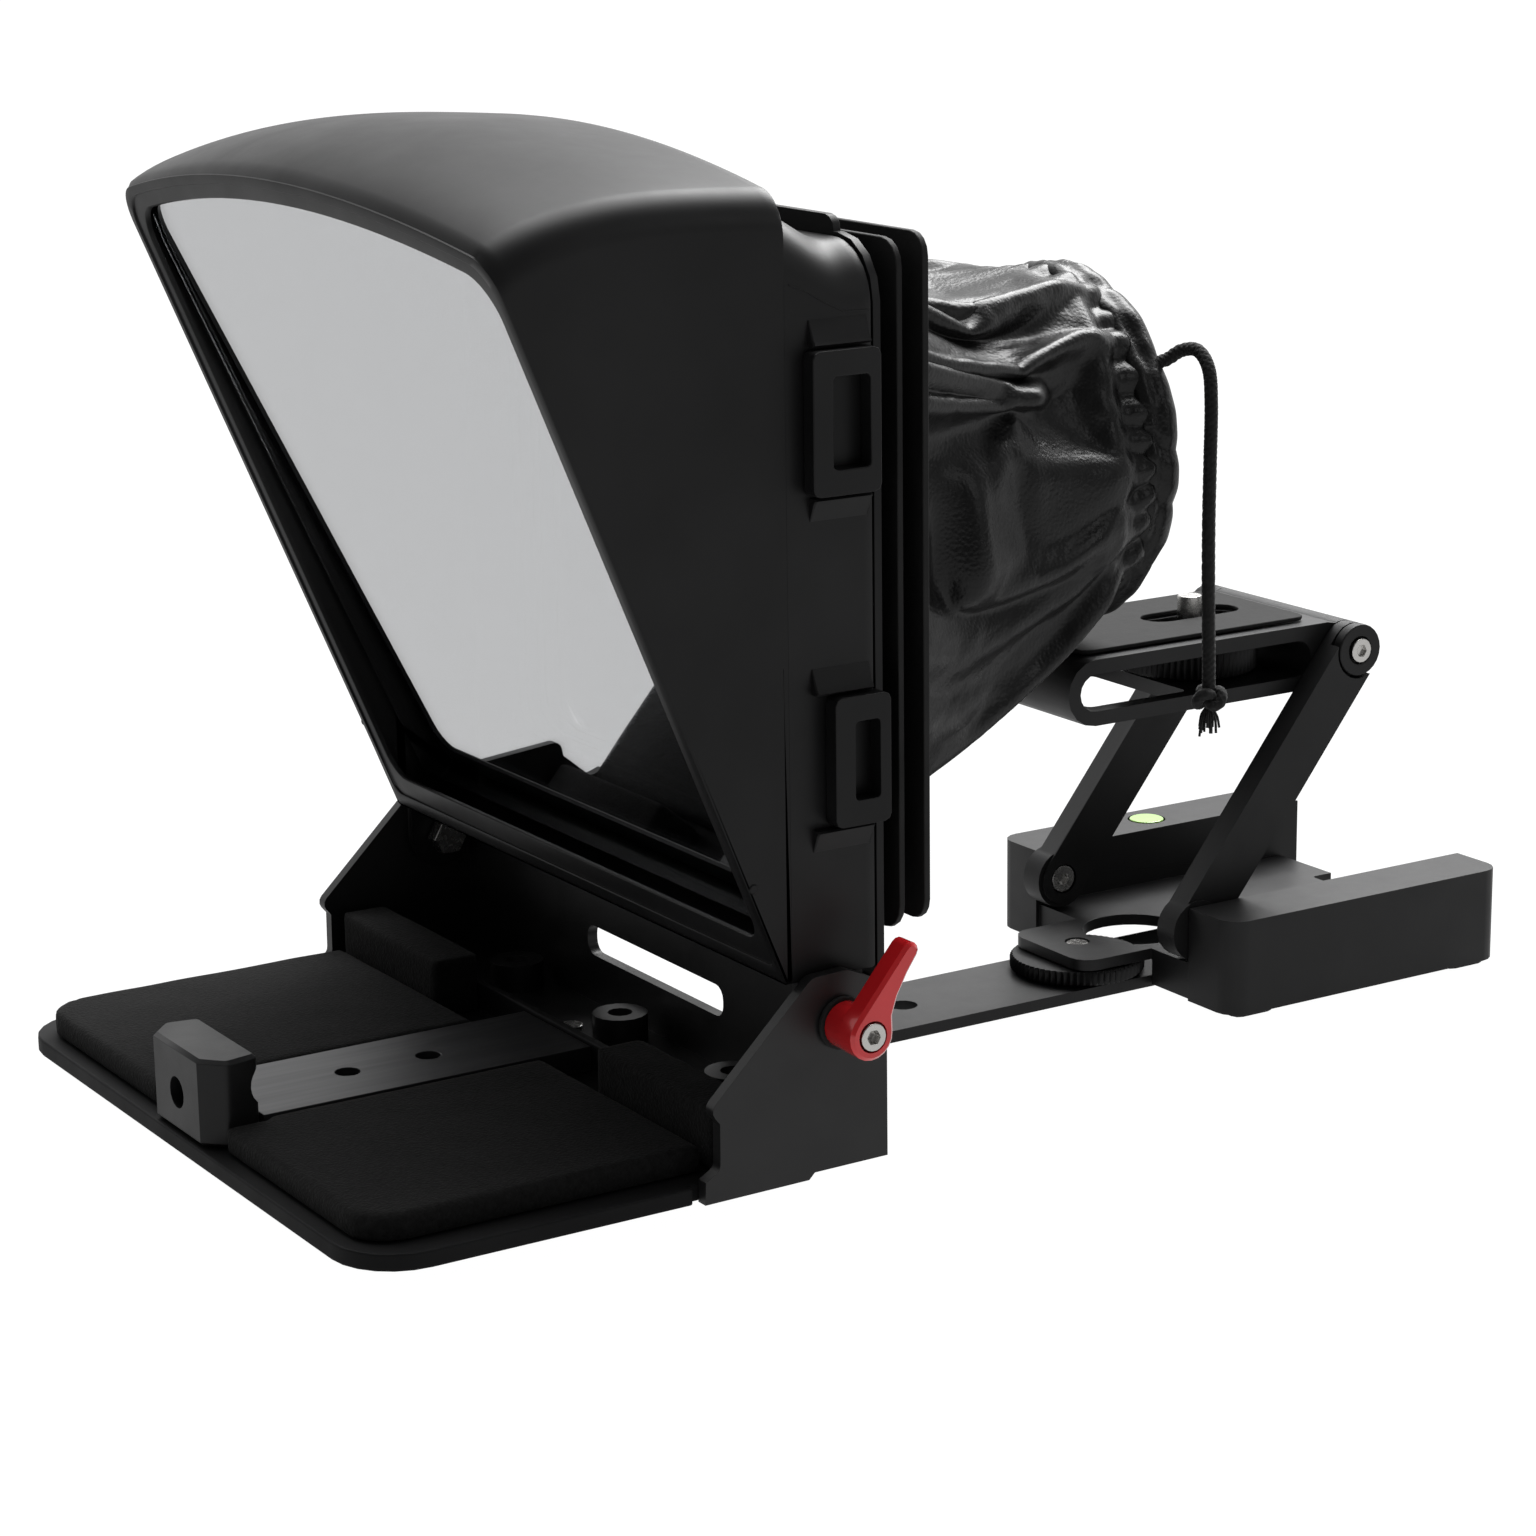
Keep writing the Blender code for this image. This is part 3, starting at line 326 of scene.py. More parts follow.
def cord_braid():
    look = Look("cord_black", (0.006, 0.006, 0.006), 0.75, Specular_IOR_Level=0.3, Sheen_Weight=0.1)
    look.vary_colour(look.noise(900, 3), (0.016, 0.016, 0.016), 0.35, 0.75)
    look.bump((look.noise(2600, 3), 0.4, 0.0002))
    return look


def red_gloss():
    look = Look("lever_red", (0.68, 0.012, 0.016), 0.26, 0.2, Coat_Weight=0.8, Coat_Roughness=0.08)
    look.vary_colour(look.noise(80, 3), (0.76, 0.016, 0.021))
    look.vary_roughness(look.noise(60, 3), 0.18, 0.27)
    look.bump((look.noise(300, 3), 0.06, 0.0002))
    return look


def screw_steel():
    look = Look("screw_steel", (0.62, 0.61, 0.59), 0.24, 1.0)
    look.vary_roughness(look.noise(900, 3), 0.18, 0.32)
    look.bump((look.noise(2500, 2), 0.1, 0.0001))
    return look


def rubber():
    look = Look("rubber_black", (0.012, 0.012, 0.012), 0.8, Specular_IOR_Level=0.3)
    look.vary_colour(look.noise(300, 3), (0.018, 0.018, 0.018))
    look.bump((look.noise(1600, 3), 0.3, 0.0002))
    return look


def level_liquid():
    look = Look("level_green", (0.34, 0.62, 0.10), 0.08, Coat_Weight=1.0, Coat_Roughness=0.03)
    look.vary_colour(look.noise(150, 2), (0.42, 0.72, 0.16))
    return look


def splitter_glass():
    look = Look("splitter_glass", (0.93, 0.94, 0.955), 0.01, 0.58, Transmission_Weight=1.0, IOR=1.45)
    look.vary_roughness(look.noise(30, 2), 0.008, 0.02)
    return look


LOOKS = {
    "hood_plastic": moulded_plastic(),
    "chassis_black": painted_metal(),
    "tray_black": tray_paint(),
    "foam_black": foam(),
    "channel_anodised": satin_anodised(),
    "black_anodised": black_anodised(),
    "panel_black": panel_sheet(),
    "sleeve_leather": leather(),
    "cord_black": cord_braid(),
    "lever_red": red_gloss(),
    "screw_steel": screw_steel(),
    "rubber_black": rubber(),
    "level_green": level_liquid(),
    "splitter_glass": splitter_glass(),
}
SLOT_OF = {entry["node"]: entry["material_slot"] for entry in frame["record"]["subparts"]}
BODY_OF = {
    node: body for body, members in frame["record"]["behaviour"]["bodies"].items() for node in members
}


# ---------------------------------------------------------- shared pieces

def dress(obj, slot):
    obj.data.materials.clear()
    obj.data.materials.append(LOOKS[slot].material)


def stand_for(obj, *names):
    """obj rides with, and replaces, these CAD nodes, in the first one's material."""
    dress(obj, SLOT_OF[names[0]])
    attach(obj, BODY_OF[names[0]])
    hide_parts(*names)
    return obj


CREASE = 32.0


def smooth(obj, angle=CREASE):
    obj.data.shade_smooth()
    obj.data.set_sharp_from_angle(angle=math.radians(angle))


def add_bevel(obj, width):
    modifier = obj.modifiers.new("edges", "BEVEL")
    modifier.width = width * MM
    modifier.segments = 2
    modifier.limit_method = "ANGLE"
    modifier.angle_limit = math.radians(CREASE)
    modifier.miter_outer = "MITER_ARC"
    modifier.harden_normals = True


def object_from(mesh, name):
    """Turns a bmesh into a linked object."""
    data = bpy.data.meshes.new(name)
    mesh.to_mesh(data)
    mesh.free()
    obj = bpy.data.objects.new(name, data)
    bpy.context.scene.collection.objects.link(obj)
    return obj


def refined(node, bevel):
    """A copy of a CAD node with its triangles merged and its edges softened by a bevel in mm."""
    mesh = bmesh.new()
    mesh.from_mesh(nodes[node].data)
    bmesh.ops.remove_doubles(mesh, verts=mesh.verts, dist=2e-6)
    bmesh.ops.dissolve_limit(mesh, angle_limit=math.radians(0.6), verts=mesh.verts, edges=mesh.edges)
    obj = object_from(mesh, node + "_finish")
    if "custom_normal" in obj.data.attributes:
        obj.data.attributes.remove(obj.data.attributes["custom_normal"])
    smooth(obj)
    if bevel:
        add_bevel(obj, bevel)
    return stand_for(obj, node)


# ----------------------------------------------------------- mesh building

FRONT_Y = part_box("tray_plate")[0][1]


def place(x, y, z):
    """A point in design millimetres, y counted from the tray's front edge, in frame metres."""
    return Vector((x * MM, y * MM + FRONT_Y, z * MM))


def add_skin(mesh, rows, closed=False):
    """Faces between successive rings of equal length, and back to the first if closed."""
    loops = [[mesh.verts.new(place(*point)) for point in row] for row in rows]
    pairs = list(zip(loops, loops[1:]))
    if closed:
        pairs.append((loops[-1], loops[0]))
    for first, second in pairs:
        for index in range(len(first)):
            after = (index + 1) % len(first)
            mesh.faces.new((first[index], first[after], second[after], second[index]))
    return loops


def add_capped(mesh, rows):
    loops = add_skin(mesh, rows)
    mesh.faces.new(loops[0])
    mesh.faces.new(loops[-1])


def shell_object(mesh, name, angle=30.0):
    bmesh.ops.recalc_face_normals(mesh, faces=mesh.faces)
    obj = object_from(mesh, name)
    smooth(obj, angle)
    return obj


def arc(centre, radius, start, end, steps):
    """Points (u, v) of an arc, angles in degrees, both ends included."""
    points = []
    for step in range(steps + 1):
        angle = math.radians(start + (end - start) * step / steps)
        points.append((centre[0] + radius * math.cos(angle), centre[1] + radius * math.sin(angle)))
    return points


def soft_plate(mesh, outline, x0, x1, soft):
    """A plate across x0..x1 with softened rims, from its side view (y, z)."""
    middle_y = sum(y for y, _ in outline) / len(outline)
    middle_z = sum(z for _, z in outline) / len(outline)
    reach = max(math.hypot(y - middle_y, z - middle_z) for y, z in outline)
    rows = []
    for x, cut in ((x0, soft), (x0 + soft, 0.0), (x1 - soft, 0.0), (x1, soft)):
        keep = 1.0 - cut / reach
        shrunk = [(middle_y + (y - middle_y) * keep, middle_z + (z - middle_z) * keep) for y, z in outline]
        rows.append([(x, y, z) for y, z in shrunk])
    add_capped(mesh, rows)


# -------------------------------------------------------------------- hood

HOOD_HALF = 82.5
HOOD_LOW = 44.4
FRONT_FOOT_Y = 93.3
FRONT_SLOPE = 0.41935
FRONT_CROWN = 196.4
REAR_CROWN = 204.6
VISOR_REAR = 94.5
SHELL_REAR = 114.0
CROWN_CURVE = 0.0013
BULGE = 6.2
WALL = 2.0
BODY_CORNER = 12.0
PIVOT = (103.2, 36.2)
LUG_RADIUS = 7.6
CLIP_HEIGHTS = ((139.5, 167.0), (75.0, 100.6))


def front_line_y(z):
    """y of the hood's slanted front at height z."""
    return FRONT_FOOT_Y - (z - HOOD_LOW) * FRONT_SLOPE


def arch_half(share, inset, low, radius, foot, drop):
    """Right half (x, z) of a hood outline, from the middle of its foot to its crown."""
    half = HOOD_HALF - inset
    rise = BULGE * math.sin(math.pi * min(1.0, share) ** 0.7)
    top = FRONT_CROWN + (REAR_CROWN - FRONT_CROWN) * share + rise - drop
    curve = CROWN_CURVE + 0.2 * rise / HOOD_HALF**2
    slope = math.atan(2 * curve * (half - radius))
    meet_x = half - radius + radius * math.sin(slope)
    meet_z = top - curve * meet_x**2
    centre_z = meet_z - radius * math.cos(slope)
    points = [(0.0, low)] + arc((half - foot, low + foot), foot, -90, 0, 5)
    side = centre_z - low - foot
    points += [(half, low + foot + side * step / 14) for step in range(1, 14)]
    points += arc((half - radius, centre_z), radius, 0, 90 - math.degrees(slope), 12)
    for step in range(1, 21):
        x = meet_x * (1 - step / 20)
        points.append((x, top - curve * x**2))
    return points


def arch(share, inset=0.0, low=HOOD_LOW, radius=8.0, foot=0.8, drop=None, shift=0.0):
    """A ring of the visor, between the slanted front (share 0) and its rear edge (share 1)."""
    drop = inset if drop is None else drop
    front = arch_half(0.0, inset, low, radius, foot, inset)
    here = arch_half(share, inset, low, radius, foot, drop)
    right = []
    for (x, z), (_, front_z) in zip(here, front):
        y = front_line_y(front_z) * (1 - share) + VISOR_REAR * share
        right.append((x, y + shift, z))
    return right + [(-x, y, z) for x, y, z in reversed(right[1:-1])]


def body_top(y):
    """Height of the hood's body behind the visor, which falls in a soft S."""
    share = min(1.0, max(0.0, (y - VISOR_REAR) / 15.0))
    return 186.0 + 6.2 * (1 - share * share * (3 - 2 * share))


def body_ring(y, inset):
    half = HOOD_HALF - inset
    radius = BODY_CORNER - inset
    low = HOOD_LOW + inset
    top = body_top(y) - inset
    right = arc((half - 0.6, low + 0.6), 0.6, -90, 0, 3)
    right += arc((half - radius, top - radius), radius, 0, 90, 12)
    right += [(half - radius - 17 * step, top) for step in range(1, 4)]
    outline = right + [(-x, z) for x, z in reversed(right)]
    return [(x, y, z) for x, z in outline]


def front_border_rows():
    """Rings over the hood's front border: a rounded rim, a step, then the window's edge."""
    profile = (
        (0.0, 0.6), (0.16, 0.18), (0.55, 0.0), (1.9, 0.0), (2.02, 0.12), (2.1, 0.5),
        (4.5, 0.5), (4.86, 0.62), (5.0, 1.0), (5.0, 1.75), (4.4, 1.85),
    )
    rows = []
    for inset, depth in profile:
        low = HOOD_LOW + 8.2 * inset / 5.0
        rows.append(arch(0.0, inset, low, 8.0 + inset * 0.2, 0.8 + inset * 0.9, shift=depth))
    return rows


def hood_visor_rows():
    inner = HOOD_LOW + WALL
    rows = front_border_rows()
    shares = [0.04 + 0.93 * step / 16 for step in range(17)]
    rows += [arch(share, WALL, inner, 6.0) for share in shares]
    rows += [arch(1.0, WALL, inner, 6.0, shift=-2.0), arch(1.0, WALL, inner, 6.0, drop=14.0, shift=-2.0)]
    rows += [arch(1.0, WALL, inner, 6.0, drop=14.0), arch(1.0, drop=1.1), arch(1.0, drop=0.35, shift=-0.3)]
    rows += [arch(1.0, shift=-1.1)]
    rows += [arch((step / 26) ** 1.2, shift=0.6 * (step == 0)) for step in range(25, 0, -1)]
    return rows


def hood_body_rows():
    """Rings of the hood's body behind the visor: outer skin, rounded rear rim, inner skin."""
    run = SHELL_REAR - 0.8 - VISOR_REAR
    outer = [body_ring(VISOR_REAR - 0.04 + run * step / 12, 0.0) for step in range(13)]
    rim = [body_ring(SHELL_REAR - 0.22, 0.22), body_ring(SHELL_REAR, 0.8), body_ring(SHELL_REAR, WALL)]
    inner = [body_ring(y, WALL) for y in (108.0, 102.0, 98.0, VISOR_REAR - 2.0)]
    return outer + rim + inner


def add_side_details(mesh, side):
    """One side's pivot lug, moulding seam, pin and the ramps beside its clips."""
    lug_top = HOOD_LOW + 0.5
    lug = arc(PIVOT, LUG_RADIUS, 180, 360, 20)
    lug += [(PIVOT[0] + LUG_RADIUS, lug_top), (PIVOT[0] - LUG_RADIUS, lug_top)]
    soft_plate(mesh, lug, side * (HOOD_HALF - WALL), side * (HOOD_HALF - 0.05), side * 0.25)
    seam = [(y, body_top(y) - BODY_CORNER - 0.6) for y in (95.6, 99.0, 103.0, 108.0, 113.2)]
    ridge = seam + [(y, z - 0.32) for y, z in reversed(seam)]
    soft_plate(mesh, ridge, side * (HOOD_HALF - 0.3), side * (HOOD_HALF + 0.14), 0.0)
    pin = arc((86.0, 65.0), 1.0, 0, 345, 23)
    soft_plate(mesh, pin, side * (HOOD_HALF - 0.5), side * (HOOD_HALF + 0.25), side * 0.2)
    for low, high in CLIP_HEIGHTS:
        add_wedge(mesh, side, high + 0.5, high + 5.5)
        add_wedge(mesh, side, low - 0.5, low - 5.0)


def build_hood():
    mesh = bmesh.new()
    add_skin(mesh, hood_visor_rows(), closed=True)
    add_skin(mesh, hood_body_rows(), closed=True)
    for side in (1, -1):
        add_side_details(mesh, side)
    stand_for(shell_object(mesh, "hood_finish"), "hood_shell")


def add_wedge(mesh, side, thick_z, thin_z):
    """The ramp above or below a latch clip, proud next to the clip and flush further off."""
    front, rear = 99.6, 112.6
    base = side * (HOOD_HALF - 0.4)
    rows = []
    for share, y in ((0.0, front), (0.06, front + 0.25), (0.94, rear - 0.25), (1.0, rear)):
        inset = 0.35 if share in (0.0, 1.0) else 0.0
        rows.append([
            (base, y, thick_z),
            (side * (HOOD_HALF + 1.9 - inset), y, thick_z),
            (side * (HOOD_HALF + 2.3 - inset), y, thick_z + (thin_z - thick_z) * 0.08),
            (side * (HOOD_HALF + 1.7 - inset), y, thick_z + (thin_z - thick_z) * 0.25),
            (side * (HOOD_HALF + 0.02), y, thin_z),
            (base, y, thin_z),
        ])
    add_capped(mesh, rows)


# ------------------------------------------------------------- lens sleeve

SLEEVE_FRONT = 126.5
SLEEVE_REAR = 214.5
FRONT_CENTRE_Z = 120.5
MOUTH_CENTRE_Z = 126.6
MOUTH_RADIUS = 38.0
CLOTH_THICK = 0.9
AROUND = 180
ALONG = 52
PLEATS = 34
FLANGE = (65.5, 60.0, 6.0)
TUNNEL = (63.0, 58.0, 4.4)
SIM_SCALE = 10.0
SIM_FRAMES = 14
HELD_ROWS = 5
HEM_RADIUS = 37.6
HEM_Y = 217.4
CHANNEL_AT = 0.8

# Each fold: its height and width in mm, then its line as (degrees round, share along).
FOLDS = (
    (5.5, 6.5, ((84, 0.22), (72, 0.42), (64, 0.58), (62, 0.75), (64, 1.0))),
    (-3.5, 7.0, ((50, 0.15), (48, 0.45), (50, 0.7))),
    (3.6, 3.4, ((30, 0.0), (31, 0.3), (34, 0.6), (40, 0.82), (43, 1.0))),
    (-2.6, 2.0, ((28, 0.05), (28, 0.4), (29, 0.62))),
    (3.4, 3.2, ((25, 0.05), (25, 0.3), (24, 0.5), (21, 0.66))),
    (-2.2, 2.4, ((20, 0.12), (20, 0.35), (21, 0.52))),
    (2.4, 2.8, ((16, 0.1), (15, 0.3), (17, 0.5), (21, 0.62))),
    (-4.0, 12.0, ((4, 0.1), (2, 0.35))),
    (4.8, 4.0, ((23, 0.66), (14, 0.66), (6, 0.6), (1, 0.5), (-3, 0.42))),
    (-4.2, 10.0, ((22, 0.86), (12, 0.82))),
    (4.4, 6.0, ((-3, 0.42), (-5, 0.56), (-10, 0.76), (-17, 0.93), (-10, 1.0))),
    (2.8, 3.0, ((2, 0.66), (1, 0.82), (-1, 1.0))),
    (-3.0, 8.0, ((-30, 0.35), (-28, 0.6))),
    (6.0, 4.6, ((-56, 0.12), (-52, 0.45), (-46, 0.66), (-36, 0.82), (-28, 1.0))),
    (-5.0, 9.0, ((-76, 0.5), (-66, 0.75), (-56, 0.95))),
    (3.5, 5.0, ((-95, 0.3), (-88, 0.7), (-80, 1.0))),
)


def superellipse(angle, half_x, half_z, power):
    """A point (x, z) of a rounded rectangle, or of an ellipse for power 2."""
    c, s = math.cos(angle), math.sin(angle)
    x = math.copysign(abs(c) ** (2 / power), c) * half_x
    z = math.copysign(abs(s) ** (2 / power), s) * half_z
    return x, z


def fold_height(degrees, share):
    """Height of all the folds at one place, the left side's mirroring the right side's."""
    if degrees > 180:
        degrees -= 360
    if abs(degrees) > 97:
        degrees = (180 - abs(degrees)) * (1 if degrees > 0 else -1)
        share = share * 0.94 + 0.03
    total = 0.0
    for height, width, line in FOLDS:
        nearest = min(distance_to(degrees, share, start, end) for start, end in zip(line, line[1:]))
        total += height * math.exp(-((nearest / width) ** 2))
    return total


def distance_to(degrees, share, start, end):
    """Distance in mm over the sleeve from a place to a fold's straight stretch."""
    round_mm, along_mm = 0.9, SLEEVE_REAR - SLEEVE_FRONT
    here = Vector((degrees * round_mm, share * along_mm))
    first = Vector((start[0] * round_mm, start[1] * along_mm))
    run = Vector((end[0] * round_mm, end[1] * along_mm)) - first
    part = min(1.0, max(0.0, (here - first).dot(run) / run.length_squared))
    return (here - first - run * part).length


def sleeve_point(turn, share):
    """Where the sleeve's cloth starts, in design mm: folds drawn in, pleats at the mouth."""
    angle = math.tau * turn
    under = max(0.0, -math.sin(angle))
    near_x, near_z = superellipse(angle, *(FLANGE if share == 0 else TUNNEL))
    blend = share ** (1.35 - 0.3 * under)
    x = near_x + (MOUTH_RADIUS * math.cos(angle) - near_x) * blend
    z = near_z + (MOUTH_RADIUS * math.sin(angle) - near_z) * blend
    radius = math.hypot(x, z)
    ends = min(1.0, share / 0.12) * min(1.0, (1.05 - share) / 0.18)
    pleat_zone = math.exp(-(1.0 - share) / 0.11)
    wave = math.cos(PLEATS * angle + 1.7 * math.sin(3 * angle) + 0.8 * math.sin(7 * angle))
    neck = -2.6 * math.exp(-(((share - 0.93) / 0.04) ** 2))
    grow = fold_height(math.degrees(angle), share) * ends * 0.85 + 1.1 * wave * pleat_zone + neck
    grow += 3.0 * math.sin(math.pi * share) * (1 - 1.8 * under)
    centre_z = FRONT_CENTRE_Z + (MOUTH_CENTRE_Z - FRONT_CENTRE_Z) * blend
    y = SLEEVE_FRONT + (SLEEVE_REAR - SLEEVE_FRONT) * share
    return (x * (1 + grow / radius), y, centre_z + z * (1 + grow / radius))


def tube_mesh(name, rows):
    """An open tube of quads through rings of world points, as a linked object."""
    count = len(rows[0])
    vertices = [point for row in rows for point in row]
    faces = []
    for j in range(len(rows) - 1):
        for i in range(count):
            after = (i + 1) % count
            faces.append((j * count + i, j * count + after, (j + 1) * count + after, (j + 1) * count + i))
    data = bpy.data.meshes.new(name)
    data.from_pydata(vertices, [], faces)
    obj = bpy.data.objects.new(name, data)
    bpy.context.scene.collection.objects.link(obj)
    return obj


def settle(obj):
    """Lets the cloth find its own small folds, with both of its ends held."""
    count = len(obj.data.vertices)
    held = obj.vertex_groups.new(name="held")
    rear_ring = list(range(count - HELD_ROWS * AROUND, count))
    held.add(list(range(AROUND)) + rear_ring, 1.0, "REPLACE")
    obj.shape_key_add(name="Basis")
    slack = obj.shape_key_add(name="slack")
    middle = Vector((0.0, 0.0, FRONT_CENTRE_Z * MM * SIM_SCALE))
    for index, point in enumerate(slack.data):
        out = Vector((point.co.x, 0.0, point.co.z)) - middle
        share = (index // AROUND) / ALONG
        point.co += out * 0.035 * math.sin(math.pi * share) + Vector((0, 0.02 * share, 0))
    slack.value = 0.0
    cloth = obj.modifiers.new("cloth", "CLOTH")
    settings = cloth.settings
    settings.quality = 6
    settings.mass = 0.25
    settings.tension_stiffness = settings.compression_stiffness = 25
    settings.shear_stiffness = 8
    settings.bending_stiffness = 5
    settings.tension_damping = settings.compression_damping = 12
    settings.shear_damping = 8
    settings.bending_damping = 3
    settings.air_damping = 3
    settings.vertex_group_mass = "held"
    settings.rest_shape_key = slack
    settings.use_pressure = True
    settings.uniform_pressure_force = 1.5
    settings.effector_weights.gravity = 0.4
    cloth.point_cache.frame_start = 1
    cloth.point_cache.frame_end = SIM_FRAMES
    for step in range(1, SIM_FRAMES + 1):
        bpy.context.scene.frame_set(step)
    evaluated = obj.evaluated_get(bpy.context.evaluated_depsgraph_get())
    settled = [vertex.co.copy() for vertex in evaluated.data.vertices]
    bpy.context.scene.frame_set(1)
    return settled


def build_sleeve():
    rows = []
    for j in range(ALONG + 1):
        ring = [sleeve_point(i / AROUND, j / ALONG) for i in range(AROUND)]
        rows.append([place(*point) * SIM_SCALE for point in ring])
    draft = tube_mesh("sleeve_draft", rows)
    points = settle(draft)
    bpy.data.objects.remove(draft)
    points = [point / SIM_SCALE for point in points]
    sleeve = tube_mesh("sleeve_cloth", [points[j * AROUND:(j + 1) * AROUND] for j in range(ALONG + 1)])
    smooth(sleeve, 180)
    finer = sleeve.modifiers.new("finer", "SUBSURF")
    finer.levels = finer.render_levels = 1
    thick = sleeve.modifiers.new("thickness", "SOLIDIFY")
    thick.thickness = CLOTH_THICK * MM
    thick.offset = -1.0
    stand_for(sleeve, "lens_sleeve")
    hem = build_hem()


def hem_point(angle, turn):
    """A point of the hem, angle round the mouth and turn round the hem's own section."""
    across = 5.0 * math.sin(turn)
    row = math.tanh((across + CHANNEL_AT) / 1.1)
    phase = 13 * angle + 1.3 * math.sin(3 * angle) + 0.9 * math.sin(5 * angle + 1.0) + 0.9 * row
    lobe = (0.5 + 0.5 * math.cos(phase)) ** 0.45
    fine = math.sin(37 * angle + 2.0 * math.sin(4 * angle) + 1.5 * row)
    outward = max(0.0, math.cos(turn))
    channel = 1.0 * outward * math.exp(-(((across + CHANNEL_AT) / 0.9) ** 2))
    radius = HEM_RADIUS + 2.9 * math.cos(turn) * (0.62 + 0.38 * lobe) + 0.16 * fine * outward - channel
    y = HEM_Y + across * (0.86 + 0.14 * lobe)
    return (radius * math.cos(angle), y, MOUTH_CENTRE_Z + radius * math.sin(angle))


def build_hem():
    """The drawn-up channel round the mouth: a puckered ring of cloth with the cord's channel in it."""
    turns, section = 320, 26
    rows = []
    for i in range(turns):
        angle = math.tau * i / turns
        rows.append([hem_point(angle, math.tau * k / section) for k in range(section)])
    mesh = bmesh.new()
    add_skin(mesh, rows, closed=True)
    return stand_for(shell_object(mesh, "hem_gather", 180), "sleeve_hem")


# -------------------------------------------------------------- drawstring

# The cord's root inside the hem, then the CAD's route: out of the hem, over its rim and down.
CORD_ROOT = (30.4, 219.5, 147.0)
DRAWSTRING_ROUTE = (
    (32.0, 223.2, 148.0),
    (34.5, 225.5, 150.1),
    (38.6, 226.6, 150.4),
    (42.6, 226.4, 146.9),
    (44.6, 225.6, 140.0),
    (45.3, 225.0, 129.0),
    (45.5, 224.7, 115.0),
    (45.6, 224.8, 100.0),
    (45.8, 225.0, 86.0),
    (45.9, 225.1, 77.0),
)
CORD_RADIUS = 1.5
BRAID_STRANDS = 5
BRAID_PITCH = 7.0


def smooth_through(points, steps):
    """Points of a Catmull-Rom curve through the route's own points."""
    route = [Vector(point) for point in points]
    route = [route[0] * 2 - route[1], *route, route[-1] * 2 - route[-2]]
    curve = []
    for a, b, c, d in zip(route, route[1:], route[2:], route[3:]):
        for step in range(steps):
            t = step / steps
            bend = 2 * a - 5 * b + 4 * c - d
            curve.append(0.5 * (2 * b + (c - a) * t + bend * t**2 + (3 * b - a - 3 * c + d) * t**3))
    curve.append(route[-2])
    return curve


def braid_rows(centres, radius, around=24):
    """Rings of a braided cord along centre points in mm: two crossing sets of strands."""
    rows = []
    side = Vector((1, 0, 0))
    run = 0.0
    for index, centre in enumerate(centres):
        ahead = (centres[min(index + 1, len(centres) - 1)] - centres[max(index - 1, 0)]).normalized()
        side = (side - ahead * side.dot(ahead)).normalized()
        up = ahead.cross(side)
        run += (centre - centres[index - 1]).length if index else 0.0
        ring = []
        for k in range(around):
            turn = math.tau * k / around
            phase = math.tau * run / BRAID_PITCH
            forward = math.cos(BRAID_STRANDS * (turn - phase))
            backward = math.cos(BRAID_STRANDS * (turn + phase) + 0.6)
            weave = max(forward, backward)
            size = radius * (0.9 + 0.1 * weave)
            ring.append(tuple(centre + side * size * math.cos(turn) + up * size * math.sin(turn)))
        rows.append(ring)
    return rows


def build_drawstring():
    centres = smooth_through((CORD_ROOT, *DRAWSTRING_ROUTE), 28)
    mesh = bmesh.new()
    add_capped(mesh, braid_rows(centres, CORD_RADIUS))
    cord = stand_for(shell_object(mesh, "drawstring_braid", 180), "drawstring")
    knot = build_knot(centres[-1])


def build_knot(end):
    """A trefoil knot in the same braid, with its cut strands fraying out below."""
    middle = end - Vector((0, 0, 1.0))
    loop = []
    for step in range(121):
        t = math.tau * step / 120
        x = (math.sin(t) + 2 * math.sin(2 * t)) * 0.95
        y = (math.cos(t) - 2 * math.cos(2 * t)) * 0.95
        loop.append(middle + Vector((x, y, -math.sin(3 * t) * 1.3)))
    mesh = bmesh.new()
    add_skin(mesh, braid_rows(loop, 1.35))
    for index in range(16):
        spread = math.tau * index / 16
        reach = 1.0 + 0.9 * ((index * 7) % 5) / 4
        start = middle + Vector((0.5 * math.cos(spread), 0.5 * math.sin(spread), -2.0))
        drop = 4.2 + ((index * 11) % 7) * 0.35
        tip = start + Vector((reach * math.cos(spread), reach * math.sin(spread), -drop))
        bow = (start + tip) / 2 + Vector((0.4 * math.cos(spread), 0.4 * math.sin(spread), 0.3))
        strand = smooth_through((start, bow, tip), 4)
        add_capped(mesh, braid_rows(strand, 0.28, around=6))
    knot = shell_object(mesh, "drawstring_knot", 180)
    dress(knot, "cord_black")
    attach(knot, BODY_OF["drawstring"])
    return knot


# ------------------------------------------------------------ foam, wheels

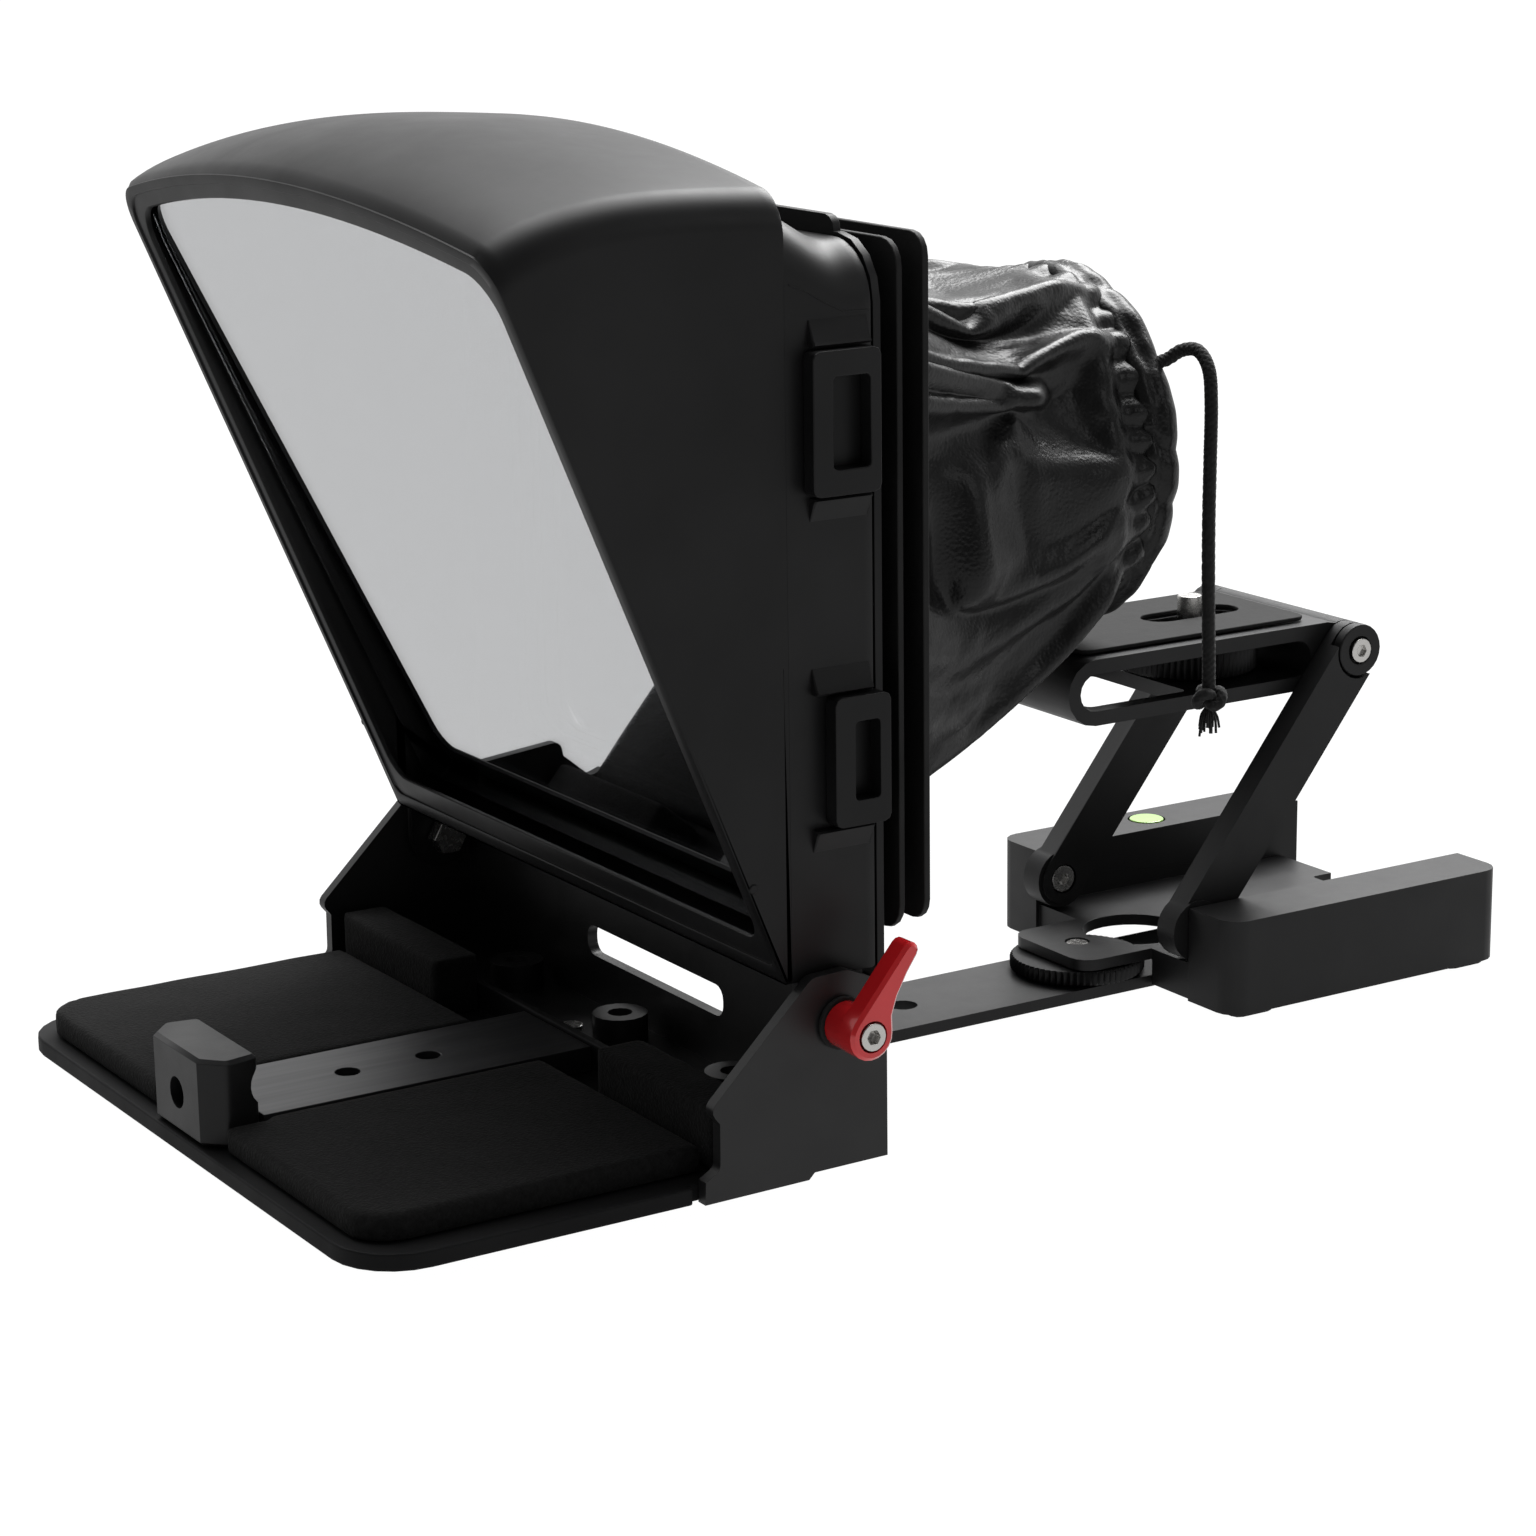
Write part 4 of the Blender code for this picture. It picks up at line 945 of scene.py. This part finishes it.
def build_foam_block(node):
    """A foam pad: rounded by remeshing, a little uneven, crowned, with its sides pulled in."""
    obj = refined(node, 0)
    remesh = obj.modifiers.new("even", "REMESH")
    remesh.mode = "VOXEL"
    remesh.voxel_size = 0.9 * MM
    relax = obj.modifiers.new("round", "SMOOTH")
    relax.factor = 0.6
    relax.iterations = 3
    evaluated = obj.evaluated_get(bpy.context.evaluated_depsgraph_get())
    data = bpy.data.meshes.new_from_object(evaluated)
    obj.modifiers.clear()
    obj.data = data
    low, high = (Vector(corner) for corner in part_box(node))
    size = high - low
    for vertex in data.vertices:
        part = [(vertex.co[i] - low[i]) / size[i] for i in range(3)]
        middle = max(0.0, min(part[0], 1 - part[0])) * max(0.0, min(part[1], 1 - part[1])) * 4
        rough = noise.noise(vertex.co * 90) * 0.00016
        vertex.co.z += part[2] * (0.0002 * middle**0.5 - 0.0001 + rough)
    smooth(obj, 180)


WHEEL_RIDGES = 64
WHEEL_BORE = 3.2
WHEEL_CHAMFER = 0.5


def knurled_wheel(node):
    """A wheel with a fine gripping edge, small chamfers and a bore for its stud."""
    low, high = (Vector(corner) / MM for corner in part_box(node))
    x, y = (low.x + high.x) / 2, (low.y + high.y) / 2
    radius = (high.x - low.x) / 2
    y -= FRONT_Y / MM
    count = WHEEL_RIDGES * 4

    def ring(size, z, depth):
        points = []
        for step in range(count):
            grip = depth * (0.5 + 0.5 * math.cos(math.tau * step / 4))
            angle = math.tau * step / count
            reach = size - grip
            points.append((x + reach * math.cos(angle), y + reach * math.sin(angle), z))
        return points

    rows = [
        ring(WHEEL_BORE, low.z, 0.0),
        ring(radius - 1.6, low.z, 0.0),
        ring(radius - WHEEL_CHAMFER, low.z, 0.3),
        ring(radius, low.z + WHEEL_CHAMFER, 0.75),
        ring(radius, high.z - WHEEL_CHAMFER, 0.75),
        ring(radius - WHEEL_CHAMFER, high.z, 0.3),
        ring(radius - 1.6, high.z, 0.0),
        ring(WHEEL_BORE, high.z, 0.0),
    ]
    mesh = bmesh.new()
    add_skin(mesh, rows, closed=True)
    stand_for(shell_object(mesh, node + "_grip", 24), node)


# Widths in mm of the softened edges, by how a node's name starts.
EDGE_WIDTHS = {
    "tray_plate": 0.5,
    "tray_foot_front": 0.8,
    "tray_foot_rear": 0.8,
    "chassis_frame": 0.35,
    "slide_channel": 0.25,
    "camera_rail": 0.35,
    "rail_spacer": 0.3,
    "rail_bolt": 0.2,
    "clamp_jaw": 0.3,
    "jaw_slide_bar": 0.3,
    "glass_rail": 0.3,
    "rear_frame": 0.3,
    "panel_gasket": 0.4,
    "rear_panel": 0.3,
    "sleeve_gasket": 0.4,
    "sleeve_plate": 0.3,
    "latch_clip": 0.3,
    "hinge_washer": 0.2,
    "head_base": 0.6,
    "arm": 0.4,
    "top_plate": 0.5,
    "top_pad": 0.3,
    "level_vial": 0.3,
}
SMALL_EDGE = 0.2


def refine_rest():
    """Every CAD node that no other piece stands for yet gets softened edges."""
    for node in sorted(nodes):
        if nodes[node].hide_render:
            continue
        family = next((key for key in EDGE_WIDTHS if node.startswith(key)), None)
        refined(node, EDGE_WIDTHS.get(family, SMALL_EDGE))


make_camera()
make_stage()
build_hood()
build_sleeve()
build_drawstring()
for foam_node in ("foam_pad_left", "foam_pad_right", "foam_stop_left", "foam_stop_right"):
    build_foam_block(foam_node)
for wheel_node in ("rail_wheel", "camera_wheel"):
    knurled_wheel(wheel_node)
refine_rest()
